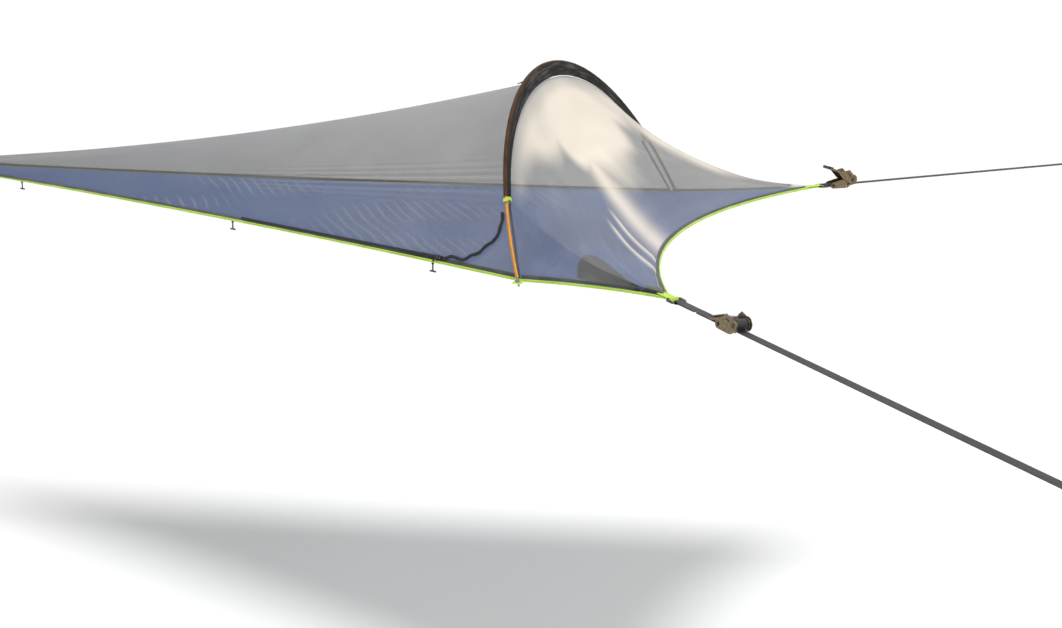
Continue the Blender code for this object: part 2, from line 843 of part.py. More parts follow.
def build_ridge_tab(black):
    turn = turn_at_sleeve + (math.pi - 2 * turn_at_sleeve) * ridge_tab_share
    inward = arch_inward(turn)
    along = arch_binormal.cross(inward)
    edge = pole_radius + sleeve_room + sleeve_cloth + fit
    start = arch_point(turn) - arch_binormal * edge
    tip = start - arch_binormal * ridge_tab_length
    rings = []
    for rise in (-ridge_tab_thickness / 2, ridge_tab_thickness / 2):
        points = [start - along * ridge_tab_width / 2, start + along * ridge_tab_width / 2, tip]
        rings.append([p + inward * rise for p in points])
    add("ridge_tab", loft(rings), black)


# The corner rings, short straps and ratchets


def ring_shape():
    """A rounded link in the XY plane, from its tent-side bar at x = 0."""
    half, corner = ring_half_width, ring_corner
    path, normals = [], []
    for x, y, first in (
        (ring_length - corner, half - corner, 0), (corner, half - corner, 90),
        (corner, corner - half, 180), (ring_length - corner, corner - half, 270),
    ):
        for point_x, point_y in arc(x, y, corner, first, first + 90, 3):
            path.append(Vector((point_x, point_y, 0)))
            normals.append(Vector((point_x - x, point_y - y, 0)) / corner)
    return loft(rings_along(path, normals, up, ring_rod, 6), closed=True)


def corner_loop_shape(tail, room):
    """Webbing sewn over and under the corner, round the ring's bar at x = 0."""
    level = room + strap_thickness / 2
    back = -corner_eye - tail
    bend = arc(0, 0, eye_radius, 90, -90, 6)
    path = [(back, level), (-corner_eye, level), *bend, (-corner_eye, -level), (back, -level)]
    return webbing(path, strap_width, strap_thickness)


def short_strap_shape(link):
    """A sewn loop from the ring's bar, at x = 0, to the ratchet's bolt."""
    waist = max(link_waist, bolt_loop_radius - link_slope_share * link / 2)
    reach = (bolt_loop_radius - waist) / link_slope_share
    path = [(link / 2 + fit, -waist)]
    path += [(link - reach, -waist)] if link - reach > link / 2 + 2 * fit else []
    path += arc(link, 0, bolt_loop_radius, -90, 90, 6)
    path += [(link - reach, waist)] if link - reach > link / 2 + 2 * fit else [(link / 2, waist)]
    path += [(reach, waist)] if reach < link / 2 - 2 * fit else []
    path += arc(0, 0, eye_radius, 90, 270, 6)
    path += [(reach, -waist)] if reach < link / 2 - 2 * fit else []
    path += [(link / 2 - fit, -waist)]
    return webbing(path, strap_width, strap_thickness)


def radial_slot(angle, inner, outer, half):
    """The four corners of a slot that points at the spool's axis."""
    along, square = (math.cos(angle), math.sin(angle)), (-math.sin(angle), math.cos(angle))
    return [
        (along[0] * r + square[0] * s, along[1] * r + square[1] * s)
        for r, s in ((inner, -half), (outer, -half), (outer, half), (inner, half))
    ]


frame_pawl_inner = gear_root + pawl_clear_of_root
handle_pawl_inner = gear_tip + pawl_clear_of_tip
slot_half = pawl_thickness / 2 + fit


def frame_outline():
    """A side plate, with the bolt's axis at 0 and the spool's at frame_reach."""
    end, spool = frame_bolt_end, frame_spool_end
    outline = arc(0, 0, end, 270, 90, 6)
    outline += [(frame_reach * 0.6, end), (frame_reach * 0.78, end * 0.5)]
    outline += arc(frame_reach, 0, spool, 160, -90, 8)
    outline += [(frame_reach * 0.84, -frame_belly * 0.86), (frame_reach * 0.7, -frame_belly)]
    outline += [(frame_reach * 0.55, -frame_belly * 0.93)]
    return outline


def build_ratchet(name, ring, link, end, opened, paints):
    """The short strap, ratchet and tree strap at a corner, all placed from the corner's ring.

    The ratchet is tilted about its bolt so that the pull runs straight from the ring to the tree.
    """
    steel, zinc, dark = paints["steel"], paints["zinc"], paints["dark"]
    add(f"{name}_short_strap", short_strap_shape(link), dark, ring, (ring_length, 0, 0))
    bolt = empty(f"{name}_bolt_place", (ring_length + link, 0, 0), (0, -ratchet_tilt, 0), ring)
    add(f"{name}_ratchet_bolt", bolt_shape(), steel, bolt)

    pawl_slot = radial_slot(
        frame_pawl_angle, frame_pawl_inner - fit, frame_pawl_inner + pawl_length + pawl_travel + fit, slot_half
    )
    pawl_slot = [(x + frame_reach, z) for x, z in pawl_slot]
    holes = [circle(bolt_radius + fit, 10), circle(mandrel_radius + fit, 16, frame_reach), pawl_slot]
    left = prism(frame_outline(), -frame_half_gap - plate, -frame_half_gap, holes)
    frame = add(f"{name}_ratchet_frame", left, zinc, bolt)
    combine(frame, prism(frame_outline(), frame_half_gap, frame_half_gap + plate, holes), zinc)
    low, high = -frame_bolt_end + fit, -frame_bolt_end + fit + plate
    base = [(frame_base_start, low), (frame_base_end, low), (frame_base_end, high), (frame_base_start, high)]
    combine(frame, prism(base, -frame_half_gap - plate / 2, frame_half_gap + plate / 2), zinc)

    place = (frame_reach, 0, 0)
    build_spool(name, bolt, place, steel, zinc)
    build_handle(name, bolt, place, opened, paints)
    outline = radial_slot(frame_pawl_angle, frame_pawl_inner, frame_pawl_inner + pawl_length, pawl_thickness / 2)
    add(f"{name}_frame_pawl", prism(outline, -gear_outer, gear_outer), steel, bolt, place)
    roll = webbing(roll_path(), strap_width, strap_thickness)
    add(f"{name}_strap_roll", roll, dark, bolt, place, (0, ratchet_tilt, 0))
    start = ring_length + link + frame_reach * math.cos(ratchet_tilt)
    strap = webbing(strap_path(start, end - corner_eye), strap_width, strap_thickness)
    add(f"{name}_tree_strap", strap, dark, ring)


def build_spool(name, bolt, place, steel, zinc):
    reach = arm_outer + mandrel_overhang
    spool = add(f"{name}_spool", prism(circle(mandrel_radius, 16), -reach, reach), steel, bolt, place)
    flat, side = mandrel_slot / 2, 2 * mandrel_radius
    slot = [(-side, -flat), (side, -flat), (side, flat), (-side, flat)]
    slot_reach = (strap_width + frame_side_room) / 2
    combine(spool, prism(slot, -slot_reach, slot_reach), steel, "DIFFERENCE")
    pitch = 360 / gear_teeth
    outline = []
    for tooth in range(gear_teeth):
        for radius, share in (
            (gear_root, -gap_root_share), (gear_root, gap_root_share),
            (gear_tip, gap_tip_share), (gear_tip, 2 - gap_tip_share),
        ):
            turn = math.radians((tooth + share / 2) * pitch)
            outline.append((radius * math.cos(turn), radius * math.sin(turn)))
    bore = [circle(mandrel_radius + fit, 16)]
    for number, low, high in ((1, -gear_outer, -gear_inner), (2, gear_inner, gear_outer)):
        add(f"{name}_gear_wheel_{number}", prism(outline, low, high, bore), zinc, bolt, place)


def handle_outline():
    """An arm of the handle, closed: it points along -X from the spool's axis."""
    lobe_x, lobe_z = handle_lobe * math.cos(handle_pawl_angle), handle_lobe * math.sin(handle_pawl_angle)
    across = handle_ear * 0.45
    outline = arc(0, 0, handle_ear, -110, 100, 9)
    outline += [(lobe_x + across, lobe_z + across * 1.2), (lobe_x - across * 0.4, lobe_z + across * 0.6)]
    outline += [(lobe_x * 1.45, handle_high), (-handle_length, handle_high), (-handle_length, handle_end_low)]
    outline += [(-handle_length * 0.68, handle_end_low), (-handle_length * 0.4, -handle_low)]
    return outline


def build_handle(name, bolt, place, opened, paints):
    zinc = paints["zinc"]
    turn = (0, opened, 0)
    inner, outer = handle_pawl_inner, handle_pawl_inner + pawl_length
    slot = radial_slot(handle_pawl_angle, inner - pawl_travel - fit, outer + pawl_lift + fit, slot_half)
    holes = [circle(mandrel_radius + fit, 16), slot]
    handle = add(f"{name}_handle", prism(handle_outline(), -arm_outer, -arm_inner, holes), zinc, bolt, place, turn)
    combine(handle, prism(handle_outline(), arm_inner, arm_outer, holes), zinc)
    low, high = handle_high - plate, handle_high - fit
    web = [(fit - handle_length, low), (-web_start, low), (-web_start, high), (fit - handle_length, high)]
    combine(handle, prism(web, -arm_inner - plate / 2, arm_inner + plate / 2), zinc)
    end, start = -handle_length - grip_wall, -handle_length - grip_wall + grip_length
    grip = [
        (end, grip_low), (start, grip_low), (start, low - fit), (-handle_length, low - fit),
        (-handle_length, high + fit), (start, high + fit), (start, grip_high), (end, grip_high),
    ]
    add(f"{name}_handle_grip", prism(grip, fit - arm_inner, arm_inner - fit), paints["black"], bolt, place, turn)
    pawl = radial_slot(handle_pawl_angle, inner, outer, pawl_thickness / 2)
    reach = arm_outer + mandrel_overhang
    add(f"{name}_handle_pawl", prism(pawl, -reach, reach), paints["steel"], bolt, place, turn)


def bolt_shape():
    near, far = frame_half_gap + plate + fit, frame_half_gap + plate + fit + bolt_head_height
    stations = (
        (-far, bolt_head), (-near, bolt_head), (-near, bolt_radius),
        (near, bolt_radius), (near, bolt_head), (far, bolt_head),
    )
    return loft([[Vector((x, y, z)) for x, z in circle(radius, 10)] for y, radius in stations])


def roll_path():
    """The strap's turns on the spool, from the mandrel out."""
    steps = roll_turns * roll_steps
    out = []
    for i in range(steps + 1):
        turn = math.tau * (i / roll_steps) - math.pi / 2
        radius = roll_inner + roll_pitch * i / roll_steps
        out.append((radius * math.cos(turn), radius * math.sin(turn)))
    return out


def strap_path(start, end):
    """From the roll's underside to the tree, and back round the sewn loop at the end."""
    radius, centre = strap_eye_radius, end - strap_eye_radius
    back = strap_thickness + fit
    path = [(start, 0), (centre, 0), *arc(centre, radius, radius, -60, 90, 5)]
    path += [(centre - strap_eye_length, back), (centre - strap_eye_length - strap_sewn_length, back)]
    return path


def build_corner(name, tip, rotation, tail, room, paints):
    """The ring at a corner and the webbing that holds it, along the X axis of the rotation."""
    way = Euler(rotation).to_matrix() @ Vector((1, 0, 0))
    ring = empty(f"{name}_ring_place", tip + way * corner_eye, rotation)
    add(f"{name}_corner_ring", ring_shape(), paints["steel"], ring)
    add(f"{name}_corner_loop", corner_loop_shape(tail, room), paints["lime"], ring)
    return ring


def build_corners(paints):
    slope = math.atan(pole_foot_drop / pole_foot_x)
    build_corner("foot", side_edge(NEAR, 0), (0, -slope, math.pi), foot_tail, edge_half + fit, paints)
    room = cloth / 2 + head_tail_room
    near = build_corner("near", head_corner(NEAR), (0, 0, near_strap_angle), head_tail, room, paints)
    build_ratchet("near", near, near_link, near_strap_end, near_handle_open, paints)
    far = build_corner("far", head_corner(FAR), (0, 0, far_strap_angle), head_tail, room, paints)
    build_ratchet("far", far, far_link, far_strap_end, far_handle_open, paints)


def least_roll_gap():
    """The least gap between the roll's turns, measured on its points."""
    path = [Vector(p) for p in roll_path()]
    gaps = [
        (path[i] - path[j]).length - strap_thickness
        for i in range(len(path)) for j in range(i + roll_steps // 2, len(path))
    ]
    return min(gaps)


def main():
    clear_scene()
    paints = {
        "blue": paint("floor cloth", (0.19, 0.24, 0.38), 0.6),
        "grey": paint("canopy mesh", (0.42, 0.41, 0.38), 0.7),
        "lime": paint("lime webbing", (0.42, 0.66, 0.1), 0.7),
        "black": paint("black plastic", (0.012, 0.012, 0.012), 0.45),
        "dark": paint("dark webbing", (0.075, 0.073, 0.068), 0.8),
        "sleeve": paint("black sleeve mesh", (0.02, 0.018, 0.016), 0.8),
        "orange": paint("anodised pole", (0.62, 0.29, 0.04), 0.35, 0.7),
        "metal": paint("aluminium", (0.6, 0.6, 0.6), 0.35, 1.0),
        "steel": paint("dark steel", (0.06, 0.06, 0.065), 0.35, 0.9),
        "zinc": paint("yellow zinc plate", (0.5, 0.38, 0.17), 0.35, 0.9),
    }
    build_floor(paints["blue"])
    build_edges(paints)
    build_canopy(paints["grey"])
    build_sleeve(paints["sleeve"])
    build_pole(paints["orange"], paints["metal"], paints["dark"])
    build_zip(paints["black"], paints["metal"])
    build_pocket(paints["sleeve"])
    build_ridge_tab(paints["black"])
    build_corners(paints)
    print("least gap between the turns on a spool, in mm:", round(least_roll_gap() * 1000, 3))


main()
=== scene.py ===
"""The looks of the tree tent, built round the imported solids.

Metres, +Z up, in the part's own frame: the origin is the floor's foot corner, +X runs to the head
and the near side is -Y.
"""

import json
from math import asin, atan, cos, exp, hypot, pi, radians, sin, sqrt, tau

import bmesh
import bpy
from mathutils import Matrix, Vector, noise

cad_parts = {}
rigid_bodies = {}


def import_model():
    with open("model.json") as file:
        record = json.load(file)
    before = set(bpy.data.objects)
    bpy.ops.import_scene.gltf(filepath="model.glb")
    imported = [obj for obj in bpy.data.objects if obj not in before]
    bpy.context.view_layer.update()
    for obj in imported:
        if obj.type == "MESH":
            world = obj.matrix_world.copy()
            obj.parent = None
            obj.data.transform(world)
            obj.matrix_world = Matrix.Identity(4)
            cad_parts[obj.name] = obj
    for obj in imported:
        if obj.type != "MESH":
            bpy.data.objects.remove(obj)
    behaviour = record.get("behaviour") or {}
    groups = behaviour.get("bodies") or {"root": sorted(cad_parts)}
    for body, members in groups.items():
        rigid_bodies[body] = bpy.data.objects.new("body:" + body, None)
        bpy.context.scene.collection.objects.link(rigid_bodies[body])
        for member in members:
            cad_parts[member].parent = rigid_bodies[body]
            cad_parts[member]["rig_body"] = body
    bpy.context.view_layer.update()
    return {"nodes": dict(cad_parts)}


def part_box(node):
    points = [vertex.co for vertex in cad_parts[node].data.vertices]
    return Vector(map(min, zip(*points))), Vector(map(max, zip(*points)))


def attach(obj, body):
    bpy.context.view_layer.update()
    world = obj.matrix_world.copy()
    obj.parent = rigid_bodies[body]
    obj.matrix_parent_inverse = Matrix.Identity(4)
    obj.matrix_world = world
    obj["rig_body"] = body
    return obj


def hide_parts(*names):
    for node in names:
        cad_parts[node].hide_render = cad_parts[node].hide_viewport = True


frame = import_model()

NEAR, FAR = -1, 1
both_sides = ((NEAR, "near"), (FAR, "far"))
up, mirror = Vector((0, 0, 1)), Vector((1, -1, 1))

# Camera
image_width = 1062
focal_pixels = 1616.4
camera_place = Vector((4.219, -4.41, 0.988))
camera_yaw, camera_pitch, camera_roll = -0.389, 0.266, 0.003
camera_far_limit = 100

# Floor plan, as in the part's source
floor_length, floor_width = 3.1, 1.577
pole_foot_x, pole_foot_half_width, pole_foot_drop = 2.652, 0.67, 0.028
side_edge_bow, head_side_bow, head_edge_inset = 0.047, 0.021, 0.203
pole_clear_of_edge = 0.012
edge_width, edge_thickness = 0.012, 0.003
floor_edge_gap = 0.0009
canopy_edge_inset = 0.009
foot_corner_reach, binding_reach = 0.076, 0.014
canopy_tip_setback, canopy_corner_setback, floor_tip_setback = 0.075, 0.03, 0.043
fit, cloth = 0.0003, 0.001
strap_width, strap_thickness = 0.025, 0.0016

# Arch, sleeve and canopy, as in the part's source, but with deeper limbs to the sleeve
pole_radius = 0.00475
pole_foot_spread, arch_rise, arch_centre_z, arch_lean_share = 0.0066366, 0.69, -0.237, -0.391
sleeve_end_z = 0.17
sleeve_least_depth, sleeve_web_depth = 0.026, 0.014
sleeve_room, sleeve_cloth = 0.00075, 0.0008
foot_ridge_sag, head_ridge_sag, head_wall_lift_share = 0.049, 0.118, 0.6
foot_sag_skew, head_sag_skew = 1.2, 1.1
lower_share, ridge_share = 0.14, 0.14 + 0.72 * 10 / 26
hook_shares = (0.23, 0.595, 0.886)
zip_width, zip_thickness, zip_stand_off = 0.007, 0.0016, 0.0018
zip_foot_share, zip_height_share = 0.6, 0.007
zip_wave_shares = (
    (0.987, 0.118), (0.985, 0.104), (0.982, 0.091), (0.977, 0.074), (0.968, 0.058), (0.953, 0.039),
    (0.942, 0.027), (0.927, 0.017), (0.913, 0.010), (0.900, 0.007),
)

# Corners and ratchets, as in the part's source
ring_rod, ring_length, ring_side_room, ring_corner = 0.0035, 0.03, 0.002, 0.0055
corner_eye, foot_tail, head_tail = 0.01, 0.088, 0.05
near_link, far_link, link_slope_share = 0.206, 0.016, 0.18
frame_reach = 0.075
near_strap_angle, far_strap_angle = radians(-43.5), radians(47)
near_strap_end, far_strap_end = 1.56, 1.25
bolt_radius = 0.003
mandrel_radius, roll_turns, roll_pitch = 0.0062, 3, 0.0021
strap_eye_radius, strap_eye_length, strap_sewn_length = 0.01, 0.1, 0.06

# Derived sizes
kink_half_width = pole_foot_half_width - pole_clear_of_edge
edge_half = edge_thickness / 2
canopy_rise = edge_half + fit + cloth / 2
arch_foot_z = -pole_foot_drop
arch_foot_height_share = (arch_foot_z - arch_centre_z) / arch_rise
arch_half_width = (pole_foot_half_width + pole_foot_spread) / sqrt(1 - arch_foot_height_share**2)
turn_at_sleeve = asin((sleeve_end_z - arch_centre_z) / arch_rise)
eye_radius = ring_rod + fit + strap_thickness / 2
bolt_loop_radius = bolt_radius + fit + strap_thickness / 2
link_waist = (strap_thickness + fit) / 2
roll_outer = mandrel_radius + fit + strap_thickness + roll_turns * roll_pitch
strap_drop = roll_outer + fit + strap_thickness / 2
ratchet_tilt = asin(strap_drop / frame_reach)

# Edges of meshes
rounded_below, crisp_above = radians(45), radians(35)
weld_distance = 1e-6
fine_bevel, small_bevel, bevel, plate_bevel, grip_bevel = 0.0003, 0.0004, 0.0005, 0.0006, 0.0015

# Folds and tapes of the canopy
foot_crease_height, short_crease_height, foot_unevenness = 0.0024, 0.0018, 0.003
ridge_fold_height, crisp_fold_height, drawn_line_height = 0.004, 0.003, 0.004
hollow_depth, head_unevenness = 0.007, 0.004
drawn_share, fold_shares, fold_width_share, fold_drift_share = 0.468, (0.45, 0.438), 0.0021, 0.001
fold_start_shares = (0.56, 0.68)
patch_reach, patch_fade, corner_lift = 0.1, 0.012, 0.0016
canopy_girth, head_run = 1.8, 0.6
column_shares = (
    (10, 0, 0.12), (40, 0.12, 0.24), (16, 0.24, 0.4), (90, 0.4, 0.49), (24, 0.49, 0.66), (40, 0.66, 1),
)
hem_width, wall_hem_width, hem_lift, hem_thickness, hem_share = 0.0085, 0.005, 0.0012, 0.0008, 0.003
seam_width, seam_lift = 0.006, 0.001

# Creases of the floor
floor_crease_height, floor_crease_period, floor_crease_drift = 0.0028, 0.085, 0.05

# Edges, their tabs and the toggles' cords
binding_proud, binding_lip, binding_drop, binding_sway = 0.0008, 0.0022, 0.0052, 0.0008
tape_width, tape_rise = 0.0095, 0.0005
tab_inner, tab_outer, tab_thickness = 0.017, 0.0145, 0.002
cord_drop, cord_bend, cord_top, cord_radius = 0.0095, 0.003, 0.0005, 0.00095
patch_room = 0.0006

# Sleeve and its lime loops
web_ripple, web_edge_half, web_flare, web_seam_half = 0.0012, 0.0012, 0.0039, 0.001
web_slack_depth, web_full_depth, web_grey_depth = 0.02, 0.035, 0.036
sleeve_pucker, sleeve_gather = 0.0004, 0.0002
loop_room, loop_tails, loop_slant, loop_width, loop_thickness = 0.0028, 0.016, 0.006, 0.011, 0.0014
loop_share, loop_opening = 0.006, 0.16

# Zip and pocket
zip_slack_length, zip_slack_sway, zip_slack_rise = 0.36, 0.009, 0.0018
zip_clear, coil_radius = 0.0008, 0.0005
pocket_start_share, pocket_length_share, pocket_foot_share = 0.39, 0.5, 0.018
pocket_end_share, pocket_height_share = 0.03, 0.2
pocket_stand_off, pocket_belly, pocket_fold = 0.0045, 0.008, 0.005

# Stage and light
ground_place, ground_size = (2, 8, -1.2), 90
ground_albedo, ground_glow, world_strength = 0.9, 0.03, 0.5
sun_place, sun_goal, sun_power, sun_angle = (1.35, 0.4, 5), (1.65, 0.1, 0), 1.9, radians(20)
side_lamp_place, side_lamp_goal = (6.5, -1.8, 2.6), (2.8, 0, 0.2)
side_lamp_power, side_lamp_size = 55, 1.5


def shares(steps, first=0.0, last=1.0):
    return [first + (last - first) * i / steps for i in range(steps + 1)]


def smooth(x, low, high):
    """0 below low, 1 above high and an even slope between them."""
    t = min(max((x - low) / (high - low), 0.0), 1.0)
    return t * t * (3 - 2 * t)


def hump(x, centre, width):
    return exp(-(((x - centre) / width) ** 2))


def wander(*place):
    """A smooth unevenness over space, from -1 to 1."""
    return noise.noise(Vector(place))


def round_turns(steps):
    return [tau * i / steps for i in range(steps)]


# Camera, as solved from the photo


def linked(name, data):
    made = bpy.data.objects.new(name, data)
    bpy.context.collection.objects.link(made)
    return made


def build_camera():
    camera = linked("camera", bpy.data.cameras.new("camera"))
    camera.location = camera_place
    turn = Matrix.Rotation(-camera_yaw, 4, "Z") @ Matrix.Rotation(pi / 2 - camera_pitch, 4, "X")
    camera.rotation_euler = (turn @ Matrix.Rotation(camera_roll, 4, "Z")).to_euler()
    camera.data.lens = camera.data.sensor_width * focal_pixels / image_width
    camera.data.clip_end = camera_far_limit
    bpy.context.scene.camera = camera


# Mesh helpers


def wear(made, finish):
    """Gives an object a finish."""
    made.data.materials.clear()
    made.data.materials.append(finishes[finish])


def piece(name, points, faces, uvs, finish, tints=(), body="tent", replaced=(), slot=None):
    """A smooth mesh that rides on a body; uvs, in metres, and tints, if any, have one entry a point."""
    mesh = bpy.data.meshes.new(name)
    mesh.from_pydata([tuple(p) for p in points], [], faces)
    layer = mesh.uv_layers.new(name="cloth")
    for loop in mesh.loops:
        layer.data[loop.index].uv = uvs[loop.vertex_index]
    if tints:
        layer = mesh.color_attributes.new(name="tint", type="FLOAT_COLOR", domain="POINT")
        for point, tint in zip(layer.data, tints):
            point.color = (*tint, 1)
    mesh.shade_smooth()
    mesh.set_sharp_from_angle(angle=rounded_below)
    made = linked(name, mesh)
    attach(made, body)
    if replaced:
        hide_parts(*replaced)
    wear(made, finish)
    return made


def grid_faces(rows, columns, around=False):
    faces = []
    for i in range(rows - 1):
        for j in range(columns if around else columns - 1):
            k = (j + 1) % columns
            faces.append((i * columns + j, i * columns + k, (i + 1) * columns + k, (i + 1) * columns + j))
    return faces


def lengths(path):
    out = [0.0]
    for here, there in zip(path, path[1:]):
        out.append(out[-1] + (there - here).length)
    return out


def tangents(path):
    ends = [path[0], *path, path[-1]]
    return [(ends[i + 2] - ends[i]).normalized() for i in range(len(path))]


def loft(name, rings, finish, closed=False, **more):
    """A skin over equal rings of points, capped unless closed; uv runs along and around."""
    count = len(rings[0])
    rings = rings + rings[:1] if closed else rings
    points = [p for ring in rings for p in ring]
    faces = grid_faces(len(rings), count, around=True)
    along = lengths([sum(ring, Vector()) / count for ring in rings])
    around = lengths([*rings[0], rings[0][0]])
    uvs = [(along[i], around[j]) for i in range(len(rings)) for j in range(count)]
    if not closed:
        faces += [tuple(range(count))[::-1], tuple(range(len(points) - count, len(points)))]
    return piece(name, points, faces, uvs, finish, **more)


def tube(name, path, normals, binormals, radius, finish, steps=16, closed=False, **more):
    rings = []
    for point, normal, binormal in zip(path, normals, binormals):
        rings.append([point + (normal * cos(a) + binormal * sin(a)) * radius for a in round_turns(steps)])
    return loft(name, rings, finish, closed, **more)


band_shares = [(-1, 0), (-0.985, 0.7), (-0.94, 1), (-0.5, 1), (0, 1), (0.5, 1), (0.94, 1), (0.985, 0.7)]


def band(name, path, acrosses, width, thickness, finish, **more):
    """A woven band with rounded edges."""
    half, rise = width / 2, thickness / 2
    section = band_shares + [(-x, -z) for x, z in band_shares]
    rings = []
    for point, along, across in zip(path, tangents(path), acrosses):
        side, lift = across.normalized(), along.cross(across).normalized()
        rings.append([point + side * (half * x) + lift * (rise * z) for x, z in section])
    return loft(name, rings, finish, **more)


def flat_band(name, path, placed, finish, **more):
    """A strap with its path in the XZ plane of a placing matrix and its width along Y."""
    across = placed.to_3x3() @ Vector((0, 1, 0))
    spine = [placed @ Vector((x, 0, z)) for x, z in path]
    return spine, band(name, spine, [across] * len(spine), strap_width, strap_thickness, finish, **more)


def arc(x, z, radius, first, last, steps):
    turns = [radians(angle) for angle in shares(steps, first, last)]
    return [(x + radius * cos(a), z + radius * sin(a)) for a in turns]


def dressed(solid, finish, rounding):
    """A copy of a solid with rounded edges, which stands for it."""
    source = frame["nodes"][solid]
    made = linked(f"{solid}_dressed", source.data.copy())
    edit = bmesh.new()
    edit.from_mesh(made.data)
    bmesh.ops.remove_doubles(edit, verts=edit.verts, dist=weld_distance)
    bmesh.ops.dissolve_limit(edit, angle_limit=radians(1), verts=edit.verts, edges=edit.edges)
    edit.to_mesh(made.data)
    edit.free()
    made.data.shade_smooth()
    made.data.set_sharp_from_angle(angle=crisp_above)
    if rounding:
        round_off = made.modifiers.new("bevel", "BEVEL")
        round_off.width = rounding
        round_off.segments = 2
        round_off.limit_method = "ANGLE"
        round_off.angle_limit = crisp_above
        round_off.harden_normals = True
    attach(made, source["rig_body"])
    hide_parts(solid)
    wear(made, finish)


# Materials

net_period, weave_period, strap_period, binding_period = 0.0012, 0.001, 0.0021, 0.0014
tape_period, pocket_period, zip_period, elastic_period = 0.0012, 0.0016, 0.0009, 0.0008
stitch_gap, stitch_length_share, stitch_half_width = 0.0035, 0.62, 0.00045
binding_stitches, loop_stitches, strap_stitches = (0.0022, 0.0085), (0.004, 0.021), (0.003, 0.022)
metal_grain_depth, plastic_grain_depth = 0.0001, 0.00015
# The cream is painted highlight on the canopy, which is also made more opaque there.
canopy_alpha, patch_alpha, highlight_opacity_share = 0.6, 0.96, 0.65
canopy_grey, canopy_light, canopy_painted_shade = (0.175, 0.174, 0.165), (0.22, 0.218, 0.205), (0.06, 0.06, 0.062)
painted_highlight_cream, patch_olive, patch_pale = (0.97, 0.865, 0.71), (0.12, 0.125, 0.085), (0.78, 0.75, 0.68)
# Painted shade on the canopy grows from the first place along it to the second, towards the foot.
painted_shade_from_x, painted_shade_to_x = 2.5, -0.3
floor_blue, floor_light, floor_under = (0.065, 0.26, 0.86), (0.09, 0.31, 0.94), (0.2, 0.22, 0.27)
# The pale streak colour is painted highlight.
floor_streak_highlight = (0.75, 0.85, 1.0)
streak_slant, streak_bend, streak_period, streak_strength = (0.77, 0.64, 0.0), 0.035, 0.034, 0.55
sleeve_black, sleeve_dark, sleeve_brown = (0.004, 0.0035, 0.003), (0.012, 0.01, 0.009), (0.1, 0.045, 0.02)
# The pale crease colour is painted highlight.
sleeve_crease_highlight = (0.075, 0.072, 0.068)
lime_dark, lime_light = (0.46, 0.72, 0.05), (0.62, 0.88, 0.12)


def grey(level):
    return (level, level, level)


def feed(socket, value):
    """Links a socket to another, or gives it a number, a vector or a colour."""
    if isinstance(value, bpy.types.NodeSocket):
        socket.id_data.links.new(value, socket)
    else:
        socket.default_value = (*value, 1) if socket.type == "RGBA" else value


def fill(made, **inputs):
    """Feeds a node's inputs by name, with underscores for spaces."""
    for name, value in inputs.items():
        feed(made.inputs[name.replace("_", " ")], value)
    return made


def new_node(beside, kind):
    """A shader node in the same tree as a node or socket."""
    return beside.id_data.nodes.new("ShaderNode" + kind)


def node(kind, **inputs):
    """A shader node with its inputs fed, the first by a socket."""
    return fill(new_node(next(iter(inputs.values())), kind), **inputs)


def maths(operation, first, second=0.0):
    made = new_node(first, "Math")
    made.operation = operation
    feed(made.inputs[0], first)
    feed(made.inputs[1], second)
    return made.outputs[0]


def times(first, second):
    return maths("MULTIPLY", first, second)


def blended(factor, first, second):
    """A mix of two colours, each a socket or three numbers."""
    made = new_node(factor, "Mix")
    made.data_type = "RGBA"
    for socket, value in ((made.inputs["Factor"], factor), (made.inputs[6], first), (made.inputs[7], second)):
        feed(socket, value)
    return made.outputs[2]


def blank(name, roughness, metallic=0.0):
    """A material, its shader, and a point's place in its cloth and in its object."""
    made = bpy.data.materials.new(name)
    made.use_nodes = True
    shader = fill(made.node_tree.nodes["Principled BSDF"], Roughness=roughness, Metallic=metallic)
    place = new_node(shader, "TexCoord")
    return made, shader, place.outputs["UV"], place.outputs["Object"]


def tints(shader):
    """The three numbers of the point colour."""
    made = new_node(shader, "VertexColor")
    made.layer_name = "tint"
    return node("SeparateColor", Color=made.outputs["Color"]).outputs


def noisy(vector, scale, detail):
    return node("TexNoise", Vector=vector, Scale=scale, Detail=detail).outputs["Fac"]


def ranged(value, **ends):
    return node("MapRange", Value=value, **ends).outputs[0]


def ribs(vector, period, direction):
    """Even ridges across a vector, a period apart in metres."""
    wave = node("TexWave", Vector=vector, Scale=tau / 20 / period)
    wave.bands_direction = direction
    wave.wave_profile = "SIN"
    return wave.outputs["Fac"]


def net(uv, period, operation="MULTIPLY"):
    """Ridges both ways across a cloth."""
    return maths(operation, ribs(uv, period, "X"), ribs(uv, period, "Y"))


def bumped(shader, height, distance):
    bump = node("Bump", Height=height, Distance=distance)
    fill(shader, Normal=bump.outputs[0])


def mottled(vector, scale, dark, light, low=0.35, high=0.65):
    """A soft variation between two colours."""
    spots = noisy(vector, scale, 3)
    return blended(ranged(spots, From_Min=low, From_Max=high), dark, light)


def woven(name, dark, light, period, roughness=0.75, stitches=(), alpha=1.0, sheen=0.2):
    """Woven cloth or webbing; stitches holds the sewn lines' places around the band, in metres."""
    made, shader, uv, solid = blank(name, roughness)
    height = net(uv, period)
    colour = blended(times(height, 0.25), mottled(solid, 14, dark, light), dark)
    if stitches:
        run, around = node("SeparateXYZ", Vector=uv).outputs[:2]
        dash = maths("PINGPONG", run, stitch_gap)
        dash = maths("LESS_THAN", dash, stitch_gap * stitch_length_share)
        sewn = 0.0
        for line in stitches:
            off = maths("ABSOLUTE", maths("SUBTRACT", around, line))
            here = times(maths("LESS_THAN", off, stitch_half_width), dash)
            sewn = maths("MAXIMUM", here, sewn)
        colour = blended(sewn, colour, tuple(c * 0.55 for c in dark))
        height = maths("SUBTRACT", height, times(sewn, 1.5))
    fill(shader, Base_Color=colour, Sheen_Weight=sheen, Sheen_Roughness=0.5, Alpha=alpha)
    bumped(shader, height, period / 5)
    return made


